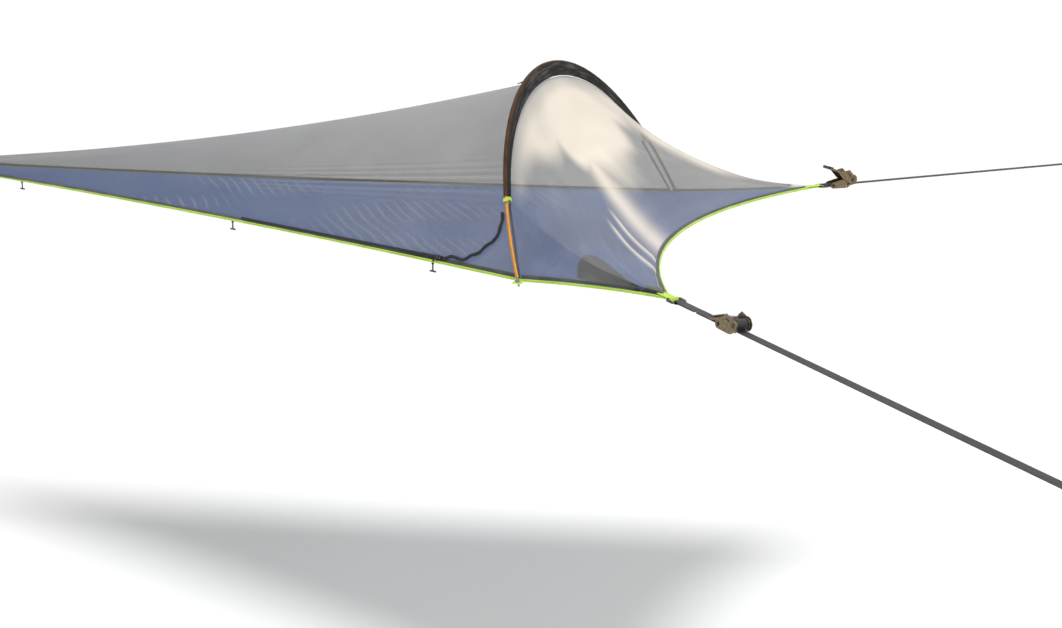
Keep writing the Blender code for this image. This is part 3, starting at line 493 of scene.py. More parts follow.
def metal(name, dark, light, roughness, scale=220.0, speckle=0.5):
    """Plated metal with fine grain and some wear."""
    made, shader, _, solid = blank(name, roughness, 1.0)
    colour = mottled(solid, scale, dark, light, 0.5 - speckle / 4, 0.5 + speckle / 4)
    grain = noisy(solid, scale * 4, 2)
    rough = ranged(grain, To_Min=roughness - 0.08, To_Max=roughness + 0.12)
    fill(shader, Base_Color=colour, Roughness=rough)
    bumped(shader, grain, metal_grain_depth)
    return made


def moulded(name, dark, light, roughness):
    """Plastic with a fine sparked texture."""
    made, shader, _, solid = blank(name, roughness)
    fill(shader, Base_Color=mottled(solid, 60, dark, light))
    bumped(shader, noisy(solid, 1800, 1), plastic_grain_depth)
    return made


def canopy_finish():
    """Fine see-through mesh: the point colour gives its painted highlight, in cream, and where it is doubled.
    """
    made, shader, uv, solid = blank("canopy_mesh", 0.62)
    painted_highlight, near_patch, far_patch = tints(shader)
    colour = mottled(solid, 5, canopy_grey, canopy_light)
    # Painted shade darkens the canopy towards the foot.
    along = node("SeparateXYZ", Vector=solid).outputs[0]
    painted_shade = ranged(along, From_Min=painted_shade_from_x, From_Max=painted_shade_to_x)
    for share, other in (
        (painted_shade, canopy_painted_shade), (painted_highlight, painted_highlight_cream), (near_patch, patch_olive), (far_patch, patch_pale),
    ):
        colour = blended(share, colour, other)
    # The cloth is made more opaque where highlight is painted, and where it is doubled.
    thick = maths("MAXIMUM", times(painted_highlight, highlight_opacity_share), maths("ADD", near_patch, far_patch))
    cover = ranged(thick, To_Min=canopy_alpha, To_Max=patch_alpha)
    fill(shader, Base_Color=colour, Alpha=cover, Sheen_Weight=0.3, Sheen_Roughness=0.4)
    bumped(shader, net(uv, net_period, "MAXIMUM"), net_period / 8)
    return made


def floor_finish():
    """Tight blue cloth with faint pale streaks of painted highlight on its creases, and a greyer underside.
    """
    made, shader, uv, solid = blank("floor_cloth", 0.5)
    colour = mottled(solid, 4, floor_blue, floor_light, 0.3, 0.7)
    slant = node("VectorMath", Vector=solid)
    slant.operation = "DOT_PRODUCT"
    feed(slant.inputs[1], streak_slant)
    run = maths("ADD", slant.outputs[1], times(noisy(solid, 3.5, 1), streak_bend))
    wave = maths("SINE", times(run, tau / streak_period))
    crest = ranged(wave, From_Min=0.35, From_Max=1.0, To_Max=streak_strength)
    # Painted highlight streaks, only where the creases are.
    colour = blended(times(crest, tints(shader)[0]), colour, floor_streak_highlight)
    above = new_node(shader, "NewGeometry").outputs["Backfacing"]
    fill(shader, Base_Color=blended(above, floor_under, colour), Sheen_Weight=0.15)
    bumped(shader, net(uv, weave_period), weave_period / 8)
    return made


def sleeve_finish():
    """Black mesh, brown where the orange pole shows through, with a few pale creases of painted highlight in
    the web.
    """
    made, shader, uv, solid = blank("sleeve_mesh", 0.7)
    brown, crease = tints(shader)[:2]
    mesh = net(uv, net_period)
    colour = blended(brown, mottled(solid, 25, sleeve_black, sleeve_dark), sleeve_brown)
    # Painted highlight on the creases.
    colour = blended(crease, colour, sleeve_crease_highlight)
    colour = blended(times(mesh, 0.3), colour, sleeve_black)
    fill(shader, Base_Color=colour, Specular_IOR_Level=0.2)
    bumped(shader, mesh, net_period / 4)
    return made


finishes = {
    "canopy": canopy_finish(),
    "floor": floor_finish(),
    "sleeve": sleeve_finish(),
    "lime": woven("lime_binding", lime_dark, lime_light, binding_period, stitches=binding_stitches),
    "lime_strap": woven("lime_webbing", lime_dark, lime_light, strap_period, stitches=loop_stitches),
    "grey_tape": woven("grey_tape", (0.05, 0.055, 0.05), (0.1, 0.105, 0.095), tape_period),
    "strap": woven("dark_webbing", (0.016, 0.016, 0.0155), (0.03, 0.0295, 0.0285), strap_period,
                   stitches=strap_stitches, sheen=0.06),
    "black_strap": woven("black_webbing", grey(0.01), grey(0.032), strap_period, 0.6, sheen=0.04),
    "pocket": woven("pocket_mesh", (0.012, 0.012, 0.01), (0.035, 0.033, 0.03), pocket_period,
                    alpha=0.92, sheen=0.05),
    "black": moulded("black_plastic", grey(0.01), grey(0.022), 0.4),
    "zip": woven("zip_tape", grey(0.004), grey(0.01), zip_period, 0.7, sheen=0.0),
    "orange": metal("orange_pole", (0.5, 0.22, 0.045), (0.62, 0.3, 0.075), 0.5, 90, 1.0),
    "aluminium": metal("aluminium", grey(0.22), (0.36, 0.36, 0.35), 0.4),
    "steel": metal("dark_steel", (0.035, 0.035, 0.037), (0.11, 0.11, 0.115), 0.34),
    "zinc": metal("zinc_plate", (0.06, 0.047, 0.03), (0.34, 0.26, 0.15), 0.42, 300, 1.0),
    "elastic": woven("shock_cord", grey(0.02), grey(0.05), elastic_period),
}


# The tent's form, as the solids have it


def side_edge(side, share):
    half_width = kink_half_width * share - 4 * side_edge_bow * share * (1 - share)
    return Vector((pole_foot_x * share, side * half_width, -pole_foot_drop * share))


def head_side_edge(side, share):
    grow = (floor_width / 2 - kink_half_width) * share - 4 * head_side_bow * share * (1 - share)
    x = pole_foot_x + (floor_length - pole_foot_x) * share
    return Vector((x, side * (kink_half_width + grow), -pole_foot_drop * (1 - share)))


def head_edge(share):
    return Vector((floor_length - head_edge_inset * (1 - share**2), share * floor_width / 2, 0))


far_side_line = Vector((floor_length - pole_foot_x, floor_width / 2 - kink_half_width + 4 * head_side_bow, 0))
far_head_line = Vector((4 * head_edge_inset / floor_width, 1, 0))
far_corner_outward = (far_side_line.normalized() + far_head_line.normalized()).normalized()


def inset(path, distance):
    middle = Vector((pole_foot_x, 0, 0))
    out = []
    for point, along in zip(path, tangents(path)):
        square = along.cross(up).normalized()
        if square.dot(middle - point) < 0:
            square = -square
        out.append(point + square * distance)
    return out


def side_line(side, steps):
    first, last = foot_corner_reach / pole_foot_x, 1 - binding_reach / (floor_length - pole_foot_x)
    foot = [side_edge(side, s) for s in shares(steps, first)]
    return foot + [head_side_edge(side, s) for s in shares(steps // 4, 0, last)[1:]]


def arch_point(turn, depth=0.0):
    y, z = -arch_half_width * cos(turn), arch_rise * sin(turn)
    inward = Vector((0, -y / arch_half_width**2, -z / arch_rise**2))
    inward.x = arch_lean_share * inward.z
    z += arch_centre_z
    return Vector((pole_foot_x + arch_lean_share * (z - arch_foot_z), y, z)) + inward.normalized() * depth


arch_binormal = Vector((1, 0, -arch_lean_share)).normalized()


def sleeve_turn(share):
    return turn_at_sleeve + (pi - 2 * turn_at_sleeve) * share


def sleeve_depth(share):
    return sleeve_least_depth + sleeve_web_depth * sin(pi * share) ** 2


def arch_seam(share):
    if share > 0.5:
        return arch_seam(1 - share) * mirror
    foot = Vector((pole_foot_x, canopy_edge_inset - kink_half_width, canopy_rise - pole_foot_drop))
    step = max(share - lower_share, 0) / (0.5 - lower_share) / 2
    at_sleeve = arch_point(sleeve_turn(step), sleeve_depth(step) + fit + 2 * cloth)
    return at_sleeve if share >= lower_share else foot.lerp(at_sleeve, share / lower_share)


def foot_surface(along, share):
    apex = Vector((canopy_tip_setback, 0, canopy_rise))
    seam = arch_seam(share)
    point = apex.lerp(seam, along)
    edge = abs(side_edge(NEAR, point.x / seam.x).y) - canopy_edge_inset * along
    point.y = seam.y * edge / (kink_half_width - canopy_edge_inset)
    low, top = arch_seam(0).z, arch_seam(0.5).z
    sag_share = 4.5 * along**foot_sag_skew * (1 - along)
    point.z -= foot_ridge_sag * sag_share * (seam.z - low) / (top - low)
    return point


def head_foot(share):
    corner = head_edge(FAR) - far_corner_outward * canopy_corner_setback
    y = corner.y * share
    x = head_edge(2 * y / floor_width).x - canopy_edge_inset
    x_at_corner = head_edge(2 * corner.y / floor_width).x - canopy_edge_inset
    return Vector((x - (x_at_corner - corner.x) * share**8, y, canopy_rise))


def head_surface(along, share):
    if share > 0.5:
        return head_surface(along, 1 - share) * mirror
    across = min((share - ridge_share) / (0.5 - ridge_share) - 1, 0)
    point = arch_seam(share).lerp(head_foot(max(across, -1)), along)
    bulge = 4 * along * (1 - along)
    point.y += head_side_bow * bulge * max(1 - share / lower_share, 0)
    sag = head_ridge_sag * min(share / ridge_share, 1)
    if share > ridge_share:
        sag *= 1 - head_wall_lift_share * cos(across * pi / 2)
    point.z -= sag * 4.1 * along * max(1 - along, 0) ** head_sag_skew
    return point


def outward(surface, along, share):
    """The canopy's upward normal, from places a small share away."""
    step = 0.004
    one = surface(min(along + step, 1), share) - surface(max(along - step, 0), share)
    other = surface(along, min(share + step, 1)) - surface(along, max(share - step, 0))
    normal = one.cross(other).normalized()
    return normal if normal.z > 0 else -normal


# Canopy


def foot_crease(along, low):
    """The long creases that run from the sleeve towards the foot: 1 on a crest and -1 between two."""
    return sin(450 * low + 2 * along) * hump(low, 0.18, 0.03) * smooth(along, 0.45, 0.8)


def foot_fold(along, share):
    """Tension lines of the foot canopy: long creases from the sleeve and short ones above the near edge."""
    low = min(share, 1 - share)
    rise = foot_crease_height * foot_crease(along, low)
    run = along * 3 - low * 9
    short = sin(run * 38) * hump(low, 0.07, 0.05) * smooth(along, 0.2, 0.6) * smooth(-along, -0.97, -0.8)
    rise += short_crease_height * short
    rise += foot_unevenness * wander(along * 5, share * 9, 3)
    return rise * smooth(low, 0, 0.03) * smooth(1 - along, 0, 0.05) * smooth(along, 0, 0.1)


def fold_lines(along, low):
    """The crisp folds beside the near ridge: 1 on a fold's crest and 0 away from it."""
    drift = fold_drift_share * wander(along * 6, 4, 0)
    return sum(hump(low, share + drift, fold_width_share) for share in fold_shares)


def ridge_line(low):
    """1 on the line pulled tight beside the near ridge, which fades faster towards the edge: a raised fold
    that also carries painted highlight.
    """
    return hump(low, drawn_share, 0.01 if low < drawn_share else 0.014)


def head_fold(along, share):
    """Folds by the near ridge, slack hollows under the sleeve and a soft unevenness."""
    low = min(share, 1 - share)
    rise = ridge_fold_height * hump(low, 0.44, 0.03) * smooth(along, 0.2, 0.6)
    if share < 0.5:
        rise += crisp_fold_height * fold_lines(along, low) * smooth(along, *fold_start_shares)
        rise += drawn_line_height * ridge_line(low) * smooth(along, 0.25, 0.45)
    rise -= hollow_depth * hump(low, 0.34, 0.05) * hump(along, 0.24, 0.1)
    rise -= hollow_depth * hump(share, 0.535, 0.025) * hump(along, 0.5, 0.14)
    rise += head_unevenness * wander(along * 3, share * 7, 8)
    return rise * smooth(low, 0, 0.03) * smooth(along, 0, 0.08) * smooth(1 - along, 0, 0.04)


def head_painted_light(along, share):
    """Painted highlight on the head canopy, in cream: most under the sleeve and along the ridges, with
    painted shade right by the sleeve.
    """
    low = min(share, 1 - share)
    middle = smooth(low, 0.46, 0.5)
    reach = 0.09 + 0.13 * smooth(low, 0.2, 0.42) + 0.2 * smooth(low, 0.425, 0.465)
    highlight_level = 0.35 + 0.45 * smooth(low, 0.18, 0.34) + 0.14 * smooth(low, 0.38, 0.47)
    bright = highlight_level * smooth(low, 0.12, 0.2) * (1 - smooth(along, reach - 0.06, reach + 0.05 + 0.26 * middle))
    if share < 0.5:
        # Painted highlight on the line by the near ridge, on its crisp folds and along the middle ridge.
        bright = max(bright, 0.84 * ridge_line(low) * smooth(along, 0.2, 0.34))
        bright = max(bright, 0.85 * fold_lines(along, low) * smooth(along, *fold_start_shares))
        bright += 0.12 * hump(low, 0.5, 0.02) * smooth(along, 0.3, 0.45) * (1 - smooth(along, 0.6, 0.9))
    else:
        # Painted highlight in a band on the far side.
        far_band = hump(share, 0.69, 0.06) * smooth(along, 0.02, 0.1) * smooth(-along, -0.75, -0.5)
        bright = max(bright, 0.85 * far_band)
    # Painted shade right by the sleeve, where the highlight fades to half.
    bright *= 0.5 + 0.5 * smooth(along, 0.0, 0.08)
    bright += 0.08 * wander(along * 9, share * 22, 2)
    return min(max(bright, 0.0), 1.0)


def corner_patch(point, side):
    """1 on the doubled cloth sewn over a head corner, and 0 beyond it."""
    return 1 - smooth((point - head_edge(side)).length, patch_reach - patch_fade, patch_reach)


def foot_painted_highlight(along, share):
    """Painted highlight on the foot canopy, in cream: a little, towards the sleeve and on its creases."""
    return max(0.05 * smooth(along, 0.5, 1.0) + 0.07 * foot_crease(along, min(share, 1 - share)), 0)


def build_canopy():
    """One sheet from the foot tip over the arch to the head corners and the head edge."""
    columns = [0.0]
    for steps, first, last in column_shares:
        columns += shares(steps, first, last)[1:]
    rows = [(foot_surface, foot_fold, foot_painted_highlight, along) for along in shares(84, 0.012)]
    rows += [(head_surface, head_fold, head_painted_light, along) for along in shares(72, 0, 0.99)[1:]]
    points, tints, uvs = [], [], []
    for surface, fold, tint, along in rows:
        for share in columns:
            point = surface(along, share)
            near, far = corner_patch(point, NEAR), corner_patch(point, FAR)
            lift = up * corner_lift * max(near, far)
            points.append(point + lift + outward(surface, along, share) * fold(along, share))
            # The first channel is painted light, highlight with painted shade by the sleeve; the other two
            # mark the doubled corner patches.
            tints.append((tint(along, share), near, far))
            if surface is foot_surface:
                uvs.append((point.x, share * canopy_girth * along))
            else:
                uvs.append((pole_foot_x + along * head_run, share * canopy_girth))
    faces = grid_faces(len(rows), len(columns))
    solids = [f"{name}_canopy" for name in ("near_foot", "far_foot", "near_head", "far_head", "head_wall")]
    made = piece("canopy", points, faces, uvs, "canopy", tints=tints, replaced=solids)


def build_hem(name, surface, spots, width=hem_width, lift=hem_lift):
    """A narrow tape that lies on the canopy along a list of places."""
    outwards = [outward(surface, *place) for place in spots]
    path = [surface(*place) + o * lift for place, o in zip(spots, outwards)]
    acrosses = [along.cross(o) for along, o in zip(tangents(path), outwards)]
    band(name, path, acrosses, width, hem_thickness, "grey_tape")


def on_side(side, share):
    return share if side == NEAR else 1 - share


def build_hems():
    for side, name in both_sides:
        hem = on_side(side, hem_share)
        build_hem(f"{name}_foot_hem", foot_surface, [(a, hem) for a in shares(90, 0.03, 0.998)])
        build_hem(f"{name}_head_hem", head_surface, [(a, hem) for a in shares(24, 0.0, 0.97)])
        post = [(0.997, on_side(side, s)) for s in shares(16, 0.004, lower_share)]
        build_hem(f"{name}_pole_seam", foot_surface, post, seam_width, seam_lift)
    wall = [(0.996, s) for s in shares(60, ridge_share + hem_share, 1 - ridge_share - hem_share)]
    build_hem("head_wall_hem", head_surface, wall, wall_hem_width)


# Floor


def side_edge_by(side, share):
    """Three close places on the side edge, with the one asked for in the middle."""
    return [side_edge(side, share + step) for step in (-0.01, 0, 0.01)]


def foot_row(share):
    return [inset(side_edge_by(side, share), edge_width + floor_edge_gap)[1] for side in (NEAR, FAR)]


def inside_head_edge(share, distance):
    slope = 4 * head_edge_inset * share / floor_width
    return head_edge(share) - Vector((distance * hypot(1, slope), 0, 0))


def floor_head(along, share):
    tip = head_edge(FAR) - far_corner_outward * floor_tip_setback
    tip_share = tip.y / (floor_width / 2)
    near, far = foot_row(1)
    goal = inside_head_edge(tip_share * share, edge_width + floor_edge_gap)
    goal.x -= (inside_head_edge(tip_share, edge_width + floor_edge_gap).x - tip.x) * share**8
    point = near.lerp(far, (share + 1) / 2).lerp(goal, along)
    point.y -= 4 * head_side_bow * along * (1 - along) * share
    return point


def floor_crease(point):
    """How high a slanting tension crease stands at a place, from -1 to 1, and how strong it is."""
    slant = point.x * streak_slant[0] + point.y * streak_slant[1]
    drift = floor_crease_drift * wander(point.x * 1.3, point.y * 2.2, 1)
    wave = sin((slant + drift) * tau / floor_crease_period)
    patches = smooth(wander(point.x * 2.2, point.y * 3.2, 5), -0.15, 0.2)
    return wave, patches * smooth(point.x, 0.7, 1.3) * smooth(-point.x, -2.55, -2.3)


def build_floor():
    foot_rows, head_rows, columns = 150, 24, 90
    rows = []
    for along in shares(foot_rows, 0.03):
        near, far = foot_row(along)
        rows.append([near.lerp(far, s) for s in shares(columns)])
    for along in shares(head_rows)[1:]:
        rows.append([floor_head(along, s) for s in shares(columns, -1, 1)])
    points, tints, uvs = [], [], []
    for row in rows:
        for j, point in enumerate(row):
            wave, strength = floor_crease(point)
            inner = smooth(min(j, columns - j), 0, 6)
            points.append(point + up * floor_crease_height * wave * strength * inner)
            # The crease strength, which also places the painted highlight streaks.
            tints.append([strength * inner] * 3)
            uvs.append((point.x, point.y))
    faces = grid_faces(len(rows), columns + 1)
    made = piece("floor", points, faces, uvs, "floor", tints=tints, replaced=["floor_panel"])


# Edges, their tabs and toggles


def build_edge(name, line, facing):
    """A lime binding folded over the edge, its outer side hanging down, and the dark tape on top."""
    path = inset(line, edge_width / 2)
    outer, low = edge_width / 2 + binding_proud, edge_half - binding_drop
    lip = outer - binding_lip
    section = [
        (lip, -edge_half), (lip, low), (outer - binding_lip / 2, -binding_drop), (outer, low),
        (outer, edge_half / 2), (outer - edge_half / 2, edge_half),
        (-edge_width / 2, edge_half), (-edge_width / 2, -edge_half),
    ]
    rings, tapes = [], []
    for point, along, run in zip(path, tangents(path), lengths(path)):
        out = along.cross(up) * facing
        sway = out * binding_sway * wander(run * 11, 0, 5)
        rings.append([point + sway + out * x + up * z for x, z in section[::int(facing)]])
        tapes.append(point - out * (edge_width - tape_width) / 2 + up * (edge_half + tape_rise))
    loft(f"{name}_dressed", rings, "lime", replaced=[name])
    acrosses = [along.cross(up) for along in tangents(tapes)]
    band(f"{name}_tape", tapes, acrosses, tape_width, tape_rise, "grey_tape")


def build_edges():
    reach = 1 - binding_reach / (floor_width / 2)
    build_edge("head_edge_webbing", [head_edge(s) for s in shares(120, -reach, reach)], 1)
    for side, name in both_sides:
        build_edge(f"{name}_edge_webbing", side_line(side, 200), -side)
        build_pole_tab(side, name)
        for number, share in enumerate(hook_shares, 1):
            build_hook_cord(side, share, f"{name}_hook_{number}")
            dressed(f"{name}_hook_{number}", "black", bevel)


def build_pole_tab(side, name):
    """The tab of doubled webbing under the edge, pierced by the pole's eyelet."""
    low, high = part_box(f"{name}_pole_eyelet")
    hole, half, rise = (high - low).x / 2 + fit, strap_width / 2, tab_thickness / 2
    inner, edge = [], []
    for a in round_turns(40):
        across, along = cos(a), sin(a)
        ahead = tab_outer if along > 0 else tab_inner
        reach = min(half / max(abs(across), fit), ahead / max(abs(along), fit))
        inner.append((hole * across, hole * along))
        edge.append((across * reach, along * reach))
    points = []
    for loop, z in ((inner, rise), (edge, rise), (edge, -rise), (inner, -rise), (inner, rise)):
        points += [(low + high) / 2 + Vector((x, side * y, z)) for x, y in loop]
    uvs = [(p.x, p.y) for p in points]
    piece(f"{name}_pole_tab", points, grid_faces(5, len(edge), around=True), uvs, "lime_strap")


def build_hook_cord(side, share, name):
    line = side_edge_by(side, share)
    along = tangents(line)[1]
    out = along.cross(up).normalized()
    place = inset(line, edge_width / 2)[1]
    bend, top = cord_bend, -cord_top
    route = [(-bend, top), *arc(0, bend - cord_drop, bend, 180, 360, 10), (bend, top)]
    path = [place + out * s + up * z for s, z in route]
    normals = [t.cross(along).normalized() for t in tangents(path)]
    binormals = [along] * len(path)
    tube(f"{name}_cord", path, normals, binormals, cord_radius, "black_strap", 10, slot="black_plastic")


# Pole and sleeve


def build_pole():
    for number in range(4):
        dressed(f"pole_section_{number + 1}", "orange", 0)
    for _, name in both_sides:
        dressed(f"{name}_pole_tip", "aluminium", small_bevel)
        dressed(f"{name}_pole_eyelet", "aluminium", bevel)
    wear(frame["nodes"]["pole_shock_cord"], "elastic")


def sleeve_flank(share, depth, outer, sign):
    """One side of the sleeve's web: its places from the tunnel to the seam, each with its point colour."""
    flank = []
    for k, part in enumerate(shares(8, 0.08, 0.94)):
        ripple = web_ripple * part * sin(share * 130 + part * 9)
        ripple *= smooth(depth, web_slack_depth, web_full_depth)
        width = sign * (web_edge_half + (1 - part) * web_flare) + ripple
        # Painted highlight on a few creases, only where the web is deep enough to ripple.
        crease = smooth(wander(share * 14, k * 3.7, sign), 0.02, 0.3)
        crease *= smooth(depth, web_slack_depth, web_grey_depth)
        flank.append(((outer * 0.6 + (depth - outer * 0.6) * part, width), (0, crease, 0)))
    return flank


def build_sleeve():
    """The pole's tunnel and the crescent web inside it, gathered a little along the arch."""
    rings, tints = [], []
    for share in shares(260):
        turn, depth = sleeve_turn(share), sleeve_depth(share)
        centre = arch_point(turn)
        inward = (arch_point(turn, 1) - centre).normalized()
        pucker = sleeve_pucker * wander(share * 60, 0, 0) + sleeve_gather * sin(share * 700)
        outer = pole_radius + sleeve_room + sleeve_cloth + pucker
        brown = (0.75 + 0.5 * wander(share * 30, 2, 0)) * (0.45 + 0.55 * smooth(-share, -0.75, -0.4))
        section = [((depth, web_seam_half), (0, 0, 0)), *sleeve_flank(share, depth, outer, 1)[::-1]]
        for x, z in arc(0, 0, outer, 20, 160, 14):
            section.append(((-z, x), (brown * smooth(z, 0, outer * 0.6), 0, 0)))
        section += [*sleeve_flank(share, depth, outer, -1), ((depth, -web_seam_half), (0, 0, 0))]
        tints += [tint for _, tint in section]
        rings.append([centre + inward * deep + arch_binormal * wide for (deep, wide), _ in section])
    loft("sleeve", rings, "sleeve", tints=tints, replaced=["pole_sleeve"])


def build_sleeve_loop(side, name):
    """The lime loop that binds the sleeve's end to the pole, its two tails sewn together inside."""
    turn = sleeve_turn(on_side(side, -loop_share))
    centre = arch_point(turn)
    inward = (arch_point(turn, 1) - centre).normalized()
    along = arch_binormal.cross(inward)
    path = []
    for k in shares(32, loop_opening, tau - loop_opening):
        radius = pole_radius + loop_room + loop_tails * (hump(k, 0, 0.5) + hump(k, tau, 0.5))
        rise = along * loop_slant * cos(k)
        path.append(centre + (inward * cos(k) + arch_binormal * sin(k)) * radius + rise)
    band(f"{name}_sleeve_loop", path, [along] * len(path), loop_width, loop_thickness, "lime")


# Zip, pocket and ridge tab


def zip_path():
    """The zip's centreline and outward directions, on the solid's own curve."""
    spots = [*zip_wave_shares, (zip_foot_share, zip_height_share)]
    lift = zip_stand_off + (cloth + zip_thickness) / 2
    outs = [outward(foot_surface, *place) for place in spots]
    points = [
        foot_surface(*place) + out * (lift + max(foot_fold(*place), 0) + zip_clear)
        for place, out in zip(spots, outs)
    ]
    path, directions = [], []
    bends = [points[0], *points[:-1], points[-2]]
    for i in range(len(points) - 2):
        before, here, there, after = bends[i:i + 4]
        for s in shares(8)[:-1]:
            curve = 2 * here + (there - before) * s
            curve += (2 * before - 5 * here + 4 * there - after) * s**2
            curve += (3 * here - before - 3 * there + after) * s**3
            path.append(curve / 2)
            directions.append(outs[i].lerp(outs[i + 1], s))
    for s in shares(60):
        path.append(points[-2].lerp(points[-1], s))
        directions.append(outs[-2])
    return path, directions


def build_zip():
    """A slack roll of mesh and tape where the zip waves, and flat tape with its coil by the edge."""
    path, outs = zip_path()
    runs = lengths(path)
    acrosses = [along.cross(out).normalized() for along, out in zip(tangents(path), outs)]
    rings = []
    for point, out, across, run in zip(path, outs, acrosses, runs):
        slack = 1 - smooth(run, zip_slack_length * 0.8, zip_slack_length * 1.2)
        sway = across * slack * zip_slack_sway * wander(run * 24, 6, 0)
        half = zip_width / 2 * (1 + slack * (0.4 + 0.35 * wander(run * 60, 1, 0)))
        rise = zip_thickness * 0.3 + slack * zip_slack_rise
        middle, wide, high = point + sway, across * half, out * rise
        rings.append([middle + wide * cos(a) + high * sin(a) for a in round_turns(14)])
    loft("door_zip_tape", rings, "zip", replaced=["door_zip"])
    start = next(k for k, run in enumerate(runs) if run > zip_slack_length)
    coil = [point + out * zip_thickness * 0.1 for point, out in zip(path[start:], outs[start:])]
    tube("door_zip_coil", coil, outs[start:], acrosses[start:], coil_radius, "black", 8)
    dressed("zip_slider", "steel", plate_bevel)
    dressed("zip_pull", "black", fine_bevel)


def build_pocket():
    """A slack mesh pouch with a rounded mouth, on the inside of the near head canopy."""
    long_rows, columns = 40, 18
    points = []
    for step in shares(long_rows):
        along = pocket_start_share + pocket_length_share * step
        top = pocket_end_share + pocket_height_share * sin(pi * step) ** 0.8
        for rise in shares(columns):
            share = pocket_foot_share + (top - pocket_foot_share) * rise
            fold = 0.5 + 0.5 * sin(step * 31 + rise * 3)
            belly = sin(pi * step) * sin(pi * rise)
            inward = -outward(head_surface, along, share)
            depth = pocket_stand_off + belly * (pocket_belly + pocket_fold * fold)
            points.append(head_surface(along, share) + inward * depth)
    faces = grid_faces(long_rows + 1, columns + 1)
    uvs = [(p.x, p.z) for p in points]
    piece("inner_pocket_pouch", points, faces, uvs, "pocket", replaced=["inner_pocket"])


# Corners, straps and ratchets


def ring_matrix(tip, turn):
    return Matrix.Translation(tip + turn.to_3x3() @ Vector((corner_eye, 0, 0))) @ turn


def build_ring(corner, placed):
    near, end = ring_corner, ring_length - ring_corner
    half = strap_width / 2 + ring_side_room + ring_rod - ring_corner
    path, normals = [], []
    for x, y, first in ((end, half, 0), (near, half, 90), (near, -half, 180), (end, -half, 270)):
        for point_x, point_y in arc(x, y, ring_corner, first, first + 90, 8):
            path.append(placed @ Vector((point_x, point_y, 0)))
            normals.append(placed.to_3x3() @ (Vector((point_x - x, point_y - y, 0)) / ring_corner))
    lifts = [placed.to_3x3() @ up] * len(path)
    tube(f"{corner}_ring", path, normals, lifts, ring_rod, "steel", closed=True,
         replaced=[f"{corner}_corner_ring"])


def build_corner_loop(corner, placed, tail, room):
    level = room + strap_thickness / 2
    back = -corner_eye - tail
    path = [(back + tail * s, level) for s in shares(8)]
    path += arc(0, 0, eye_radius, 90, -90, 16) + [(back + tail * s, -level) for s in shares(8)[::-1]]
    flat_band(f"{corner}_loop", path, placed, "lime_strap", replaced=[f"{corner}_corner_loop"])


def short_strap_path(link):
    waist = max(link_waist, bolt_loop_radius - link_slope_share * link / 2)
    reach = (bolt_loop_radius - waist) / link_slope_share
    ends = shares(12, reach, link - reach) if link - reach > reach else [link / 2]
    top, low = [(x, waist) for x in ends[::-1]], [(x, -waist) for x in ends]
    bolt_turn, ring_turn = arc(link, 0, bolt_loop_radius, -90, 90, 12), arc(0, 0, eye_radius, 90, 270, 12)
    return [*low[len(low) // 2:], *bolt_turn, *top, *ring_turn, *low[:len(low) // 2]]


def build_tree_strap(name, ring, link, end):
    """The strap from the roll's underside to its sewn loop, by the route in the part's source."""
    start = ring_length + link + frame_reach * cos(ratchet_tilt)
    centre, back = end - corner_eye - strap_eye_radius, strap_thickness + fit
    path = [(start + (centre - start) * s, 0) for s in shares(30)]
    path += arc(centre, strap_eye_radius, strap_eye_radius, -60, 90, 12)
    path += [(centre - strap_eye_length * s, back) for s in shares(6)]
    path.append((centre - strap_eye_length - strap_sewn_length, back))
    spine, strap = flat_band(f"{name}_strap", path, ring, "strap", replaced=[f"{name}_tree_strap"])


def build_roll(name, placed):
    placed = placed @ Matrix.Rotation(-ratchet_tilt, 4, "Y")
    placed = placed @ Matrix.Translation((frame_reach, 0, 0)) @ Matrix.Rotation(ratchet_tilt, 4, "Y")
    path = []
    for turns in shares(roll_turns * 36, 0, roll_turns):
        angle = tau * turns - pi / 2
        radius = mandrel_radius + fit + strap_thickness / 2 + roll_pitch * turns
        path.append((radius * cos(angle), radius * sin(angle)))
    # The roll is the tree strap's own webbing in the darker black webbing finish, as painted shade on its
    # wound layers.
    flat_band(f"{name}_roll", path, placed, "black_strap", body=f"{name}_spool_body",
              replaced=[f"{name}_strap_roll"])


def build_ratchet(name, ring, link, end):
    path, placed = short_strap_path(link), ring @ Matrix.Translation((ring_length, 0, 0))
    flat_band(f"{name}_strap_loop", path, placed, "black_strap", replaced=[f"{name}_short_strap"])
    build_tree_strap(name, ring, link, end)
    build_roll(name, ring @ Matrix.Translation((ring_length + link, 0, 0)))
    for part, finish, rounding in (
        ("ratchet_bolt", "steel", bevel), ("ratchet_frame", "zinc", plate_bevel),
        ("spool", "steel", small_bevel), ("gear_wheel_1", "steel", fine_bevel),
        ("gear_wheel_2", "steel", fine_bevel), ("handle", "zinc", plate_bevel),
        ("handle_grip", "black", grip_bevel), ("handle_pawl", "steel", small_bevel),
        ("frame_pawl", "steel", small_bevel),
    ):
        dressed(f"{name}_{part}", finish, rounding)


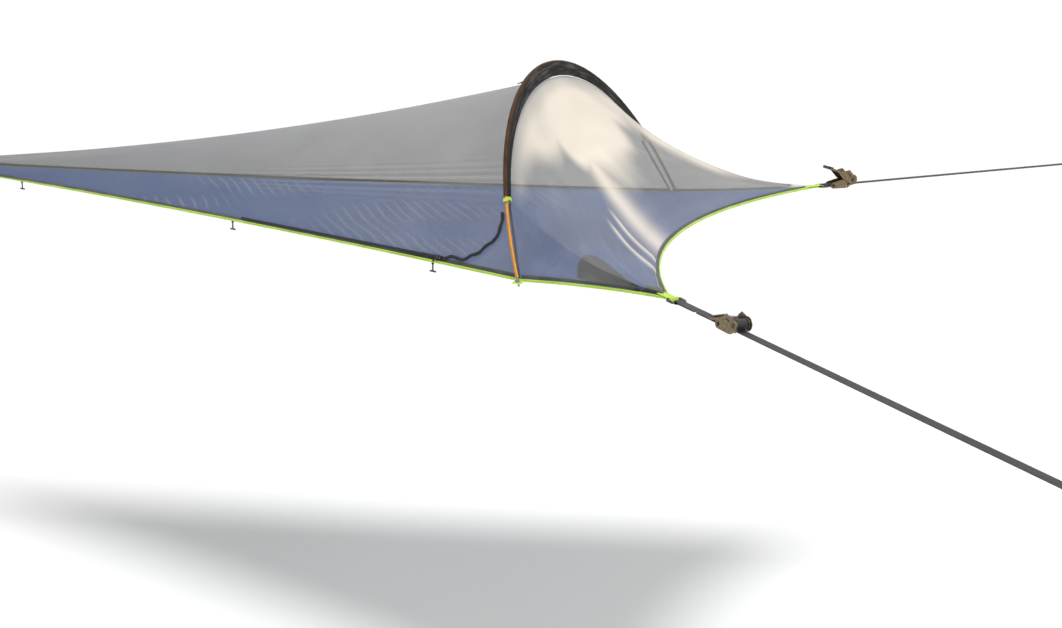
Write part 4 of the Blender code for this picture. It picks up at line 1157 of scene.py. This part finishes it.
def build_corners():
    slope = atan(pole_foot_drop / pole_foot_x)
    turn = Matrix.Rotation(pi, 4, "Z") @ Matrix.Rotation(-slope, 4, "Y")
    foot = ring_matrix(side_edge(NEAR, 0), turn)
    build_ring("foot", foot)
    build_corner_loop("foot", foot, foot_tail, edge_half + fit)
    for side, name, angle, link, end in (
        (NEAR, "near", near_strap_angle, near_link, near_strap_end),
        (FAR, "far", far_strap_angle, far_link, far_strap_end),
    ):
        ring = ring_matrix(head_edge(side), Matrix.Rotation(angle, 4, "Z"))
        build_ring(name, ring)
        build_corner_loop(name, ring, head_tail, cloth / 2 + patch_room)
        build_ratchet(name, ring, link, end)


# Stage and light


def background_rays(beside):
    """1 for rays that see the background: the camera's, and those through glass or off metal."""
    rays = new_node(beside, "LightPath")
    seen = maths("MAXIMUM", rays.outputs["Is Camera Ray"], rays.outputs["Is Glossy Ray"])
    return maths("MAXIMUM", seen, rays.outputs["Is Transmission Ray"])


def build_stage():
    bpy.ops.mesh.primitive_grid_add(
        x_subdivisions=2, y_subdivisions=2, size=ground_size, location=ground_place,
    )
    ground = bpy.context.object
    ground.name = "ground"
    made, shader = blank("pale_ground", 0.9)[:2]
    fill(shader, Base_Color=grey(ground_albedo))
    glow = node("Emission", Strength=times(background_rays(shader), ground_glow))
    both = node("AddShader", Shader=shader.outputs[0])
    feed(both.inputs[1], glow.outputs[0])
    fill(made.node_tree.nodes["Material Output"], Surface=both.outputs[0])
    ground.data.materials.append(made)


def build_lamp(name, kind, place, goal, power):
    lamp = bpy.data.lights.new(name, kind)
    lamp.energy = power
    made = linked(name, lamp)
    made.location = place
    made.rotation_euler = (Vector(goal) - Vector(place)).to_track_quat("-Z", "Y").to_euler()
    return lamp


def build_lights():
    world = bpy.data.worlds.new("world")
    bpy.context.scene.world = world
    world.use_nodes = True
    backdrop = world.node_tree.nodes["Background"]
    seen = times(background_rays(backdrop), 1 - world_strength)
    fill(backdrop, Color=grey(1), Strength=maths("ADD", seen, world_strength))
    build_lamp("overhead", "SUN", sun_place, sun_goal, sun_power).angle = sun_angle
    build_lamp("head_side", "AREA", side_lamp_place, side_lamp_goal, side_lamp_power).size = side_lamp_size


def build_all():
    build_camera()
    build_corners()
    build_canopy()
    build_hems()
    build_floor()
    build_edges()
    build_pole()
    build_sleeve()
    for side, name in both_sides:
        build_sleeve_loop(side, name)
    build_zip()
    build_pocket()
    dressed("ridge_tab", "black_strap", small_bevel)
    build_stage()
    build_lights()


build_all()
bpy.context.scene.view_settings.view_transform = "Standard"
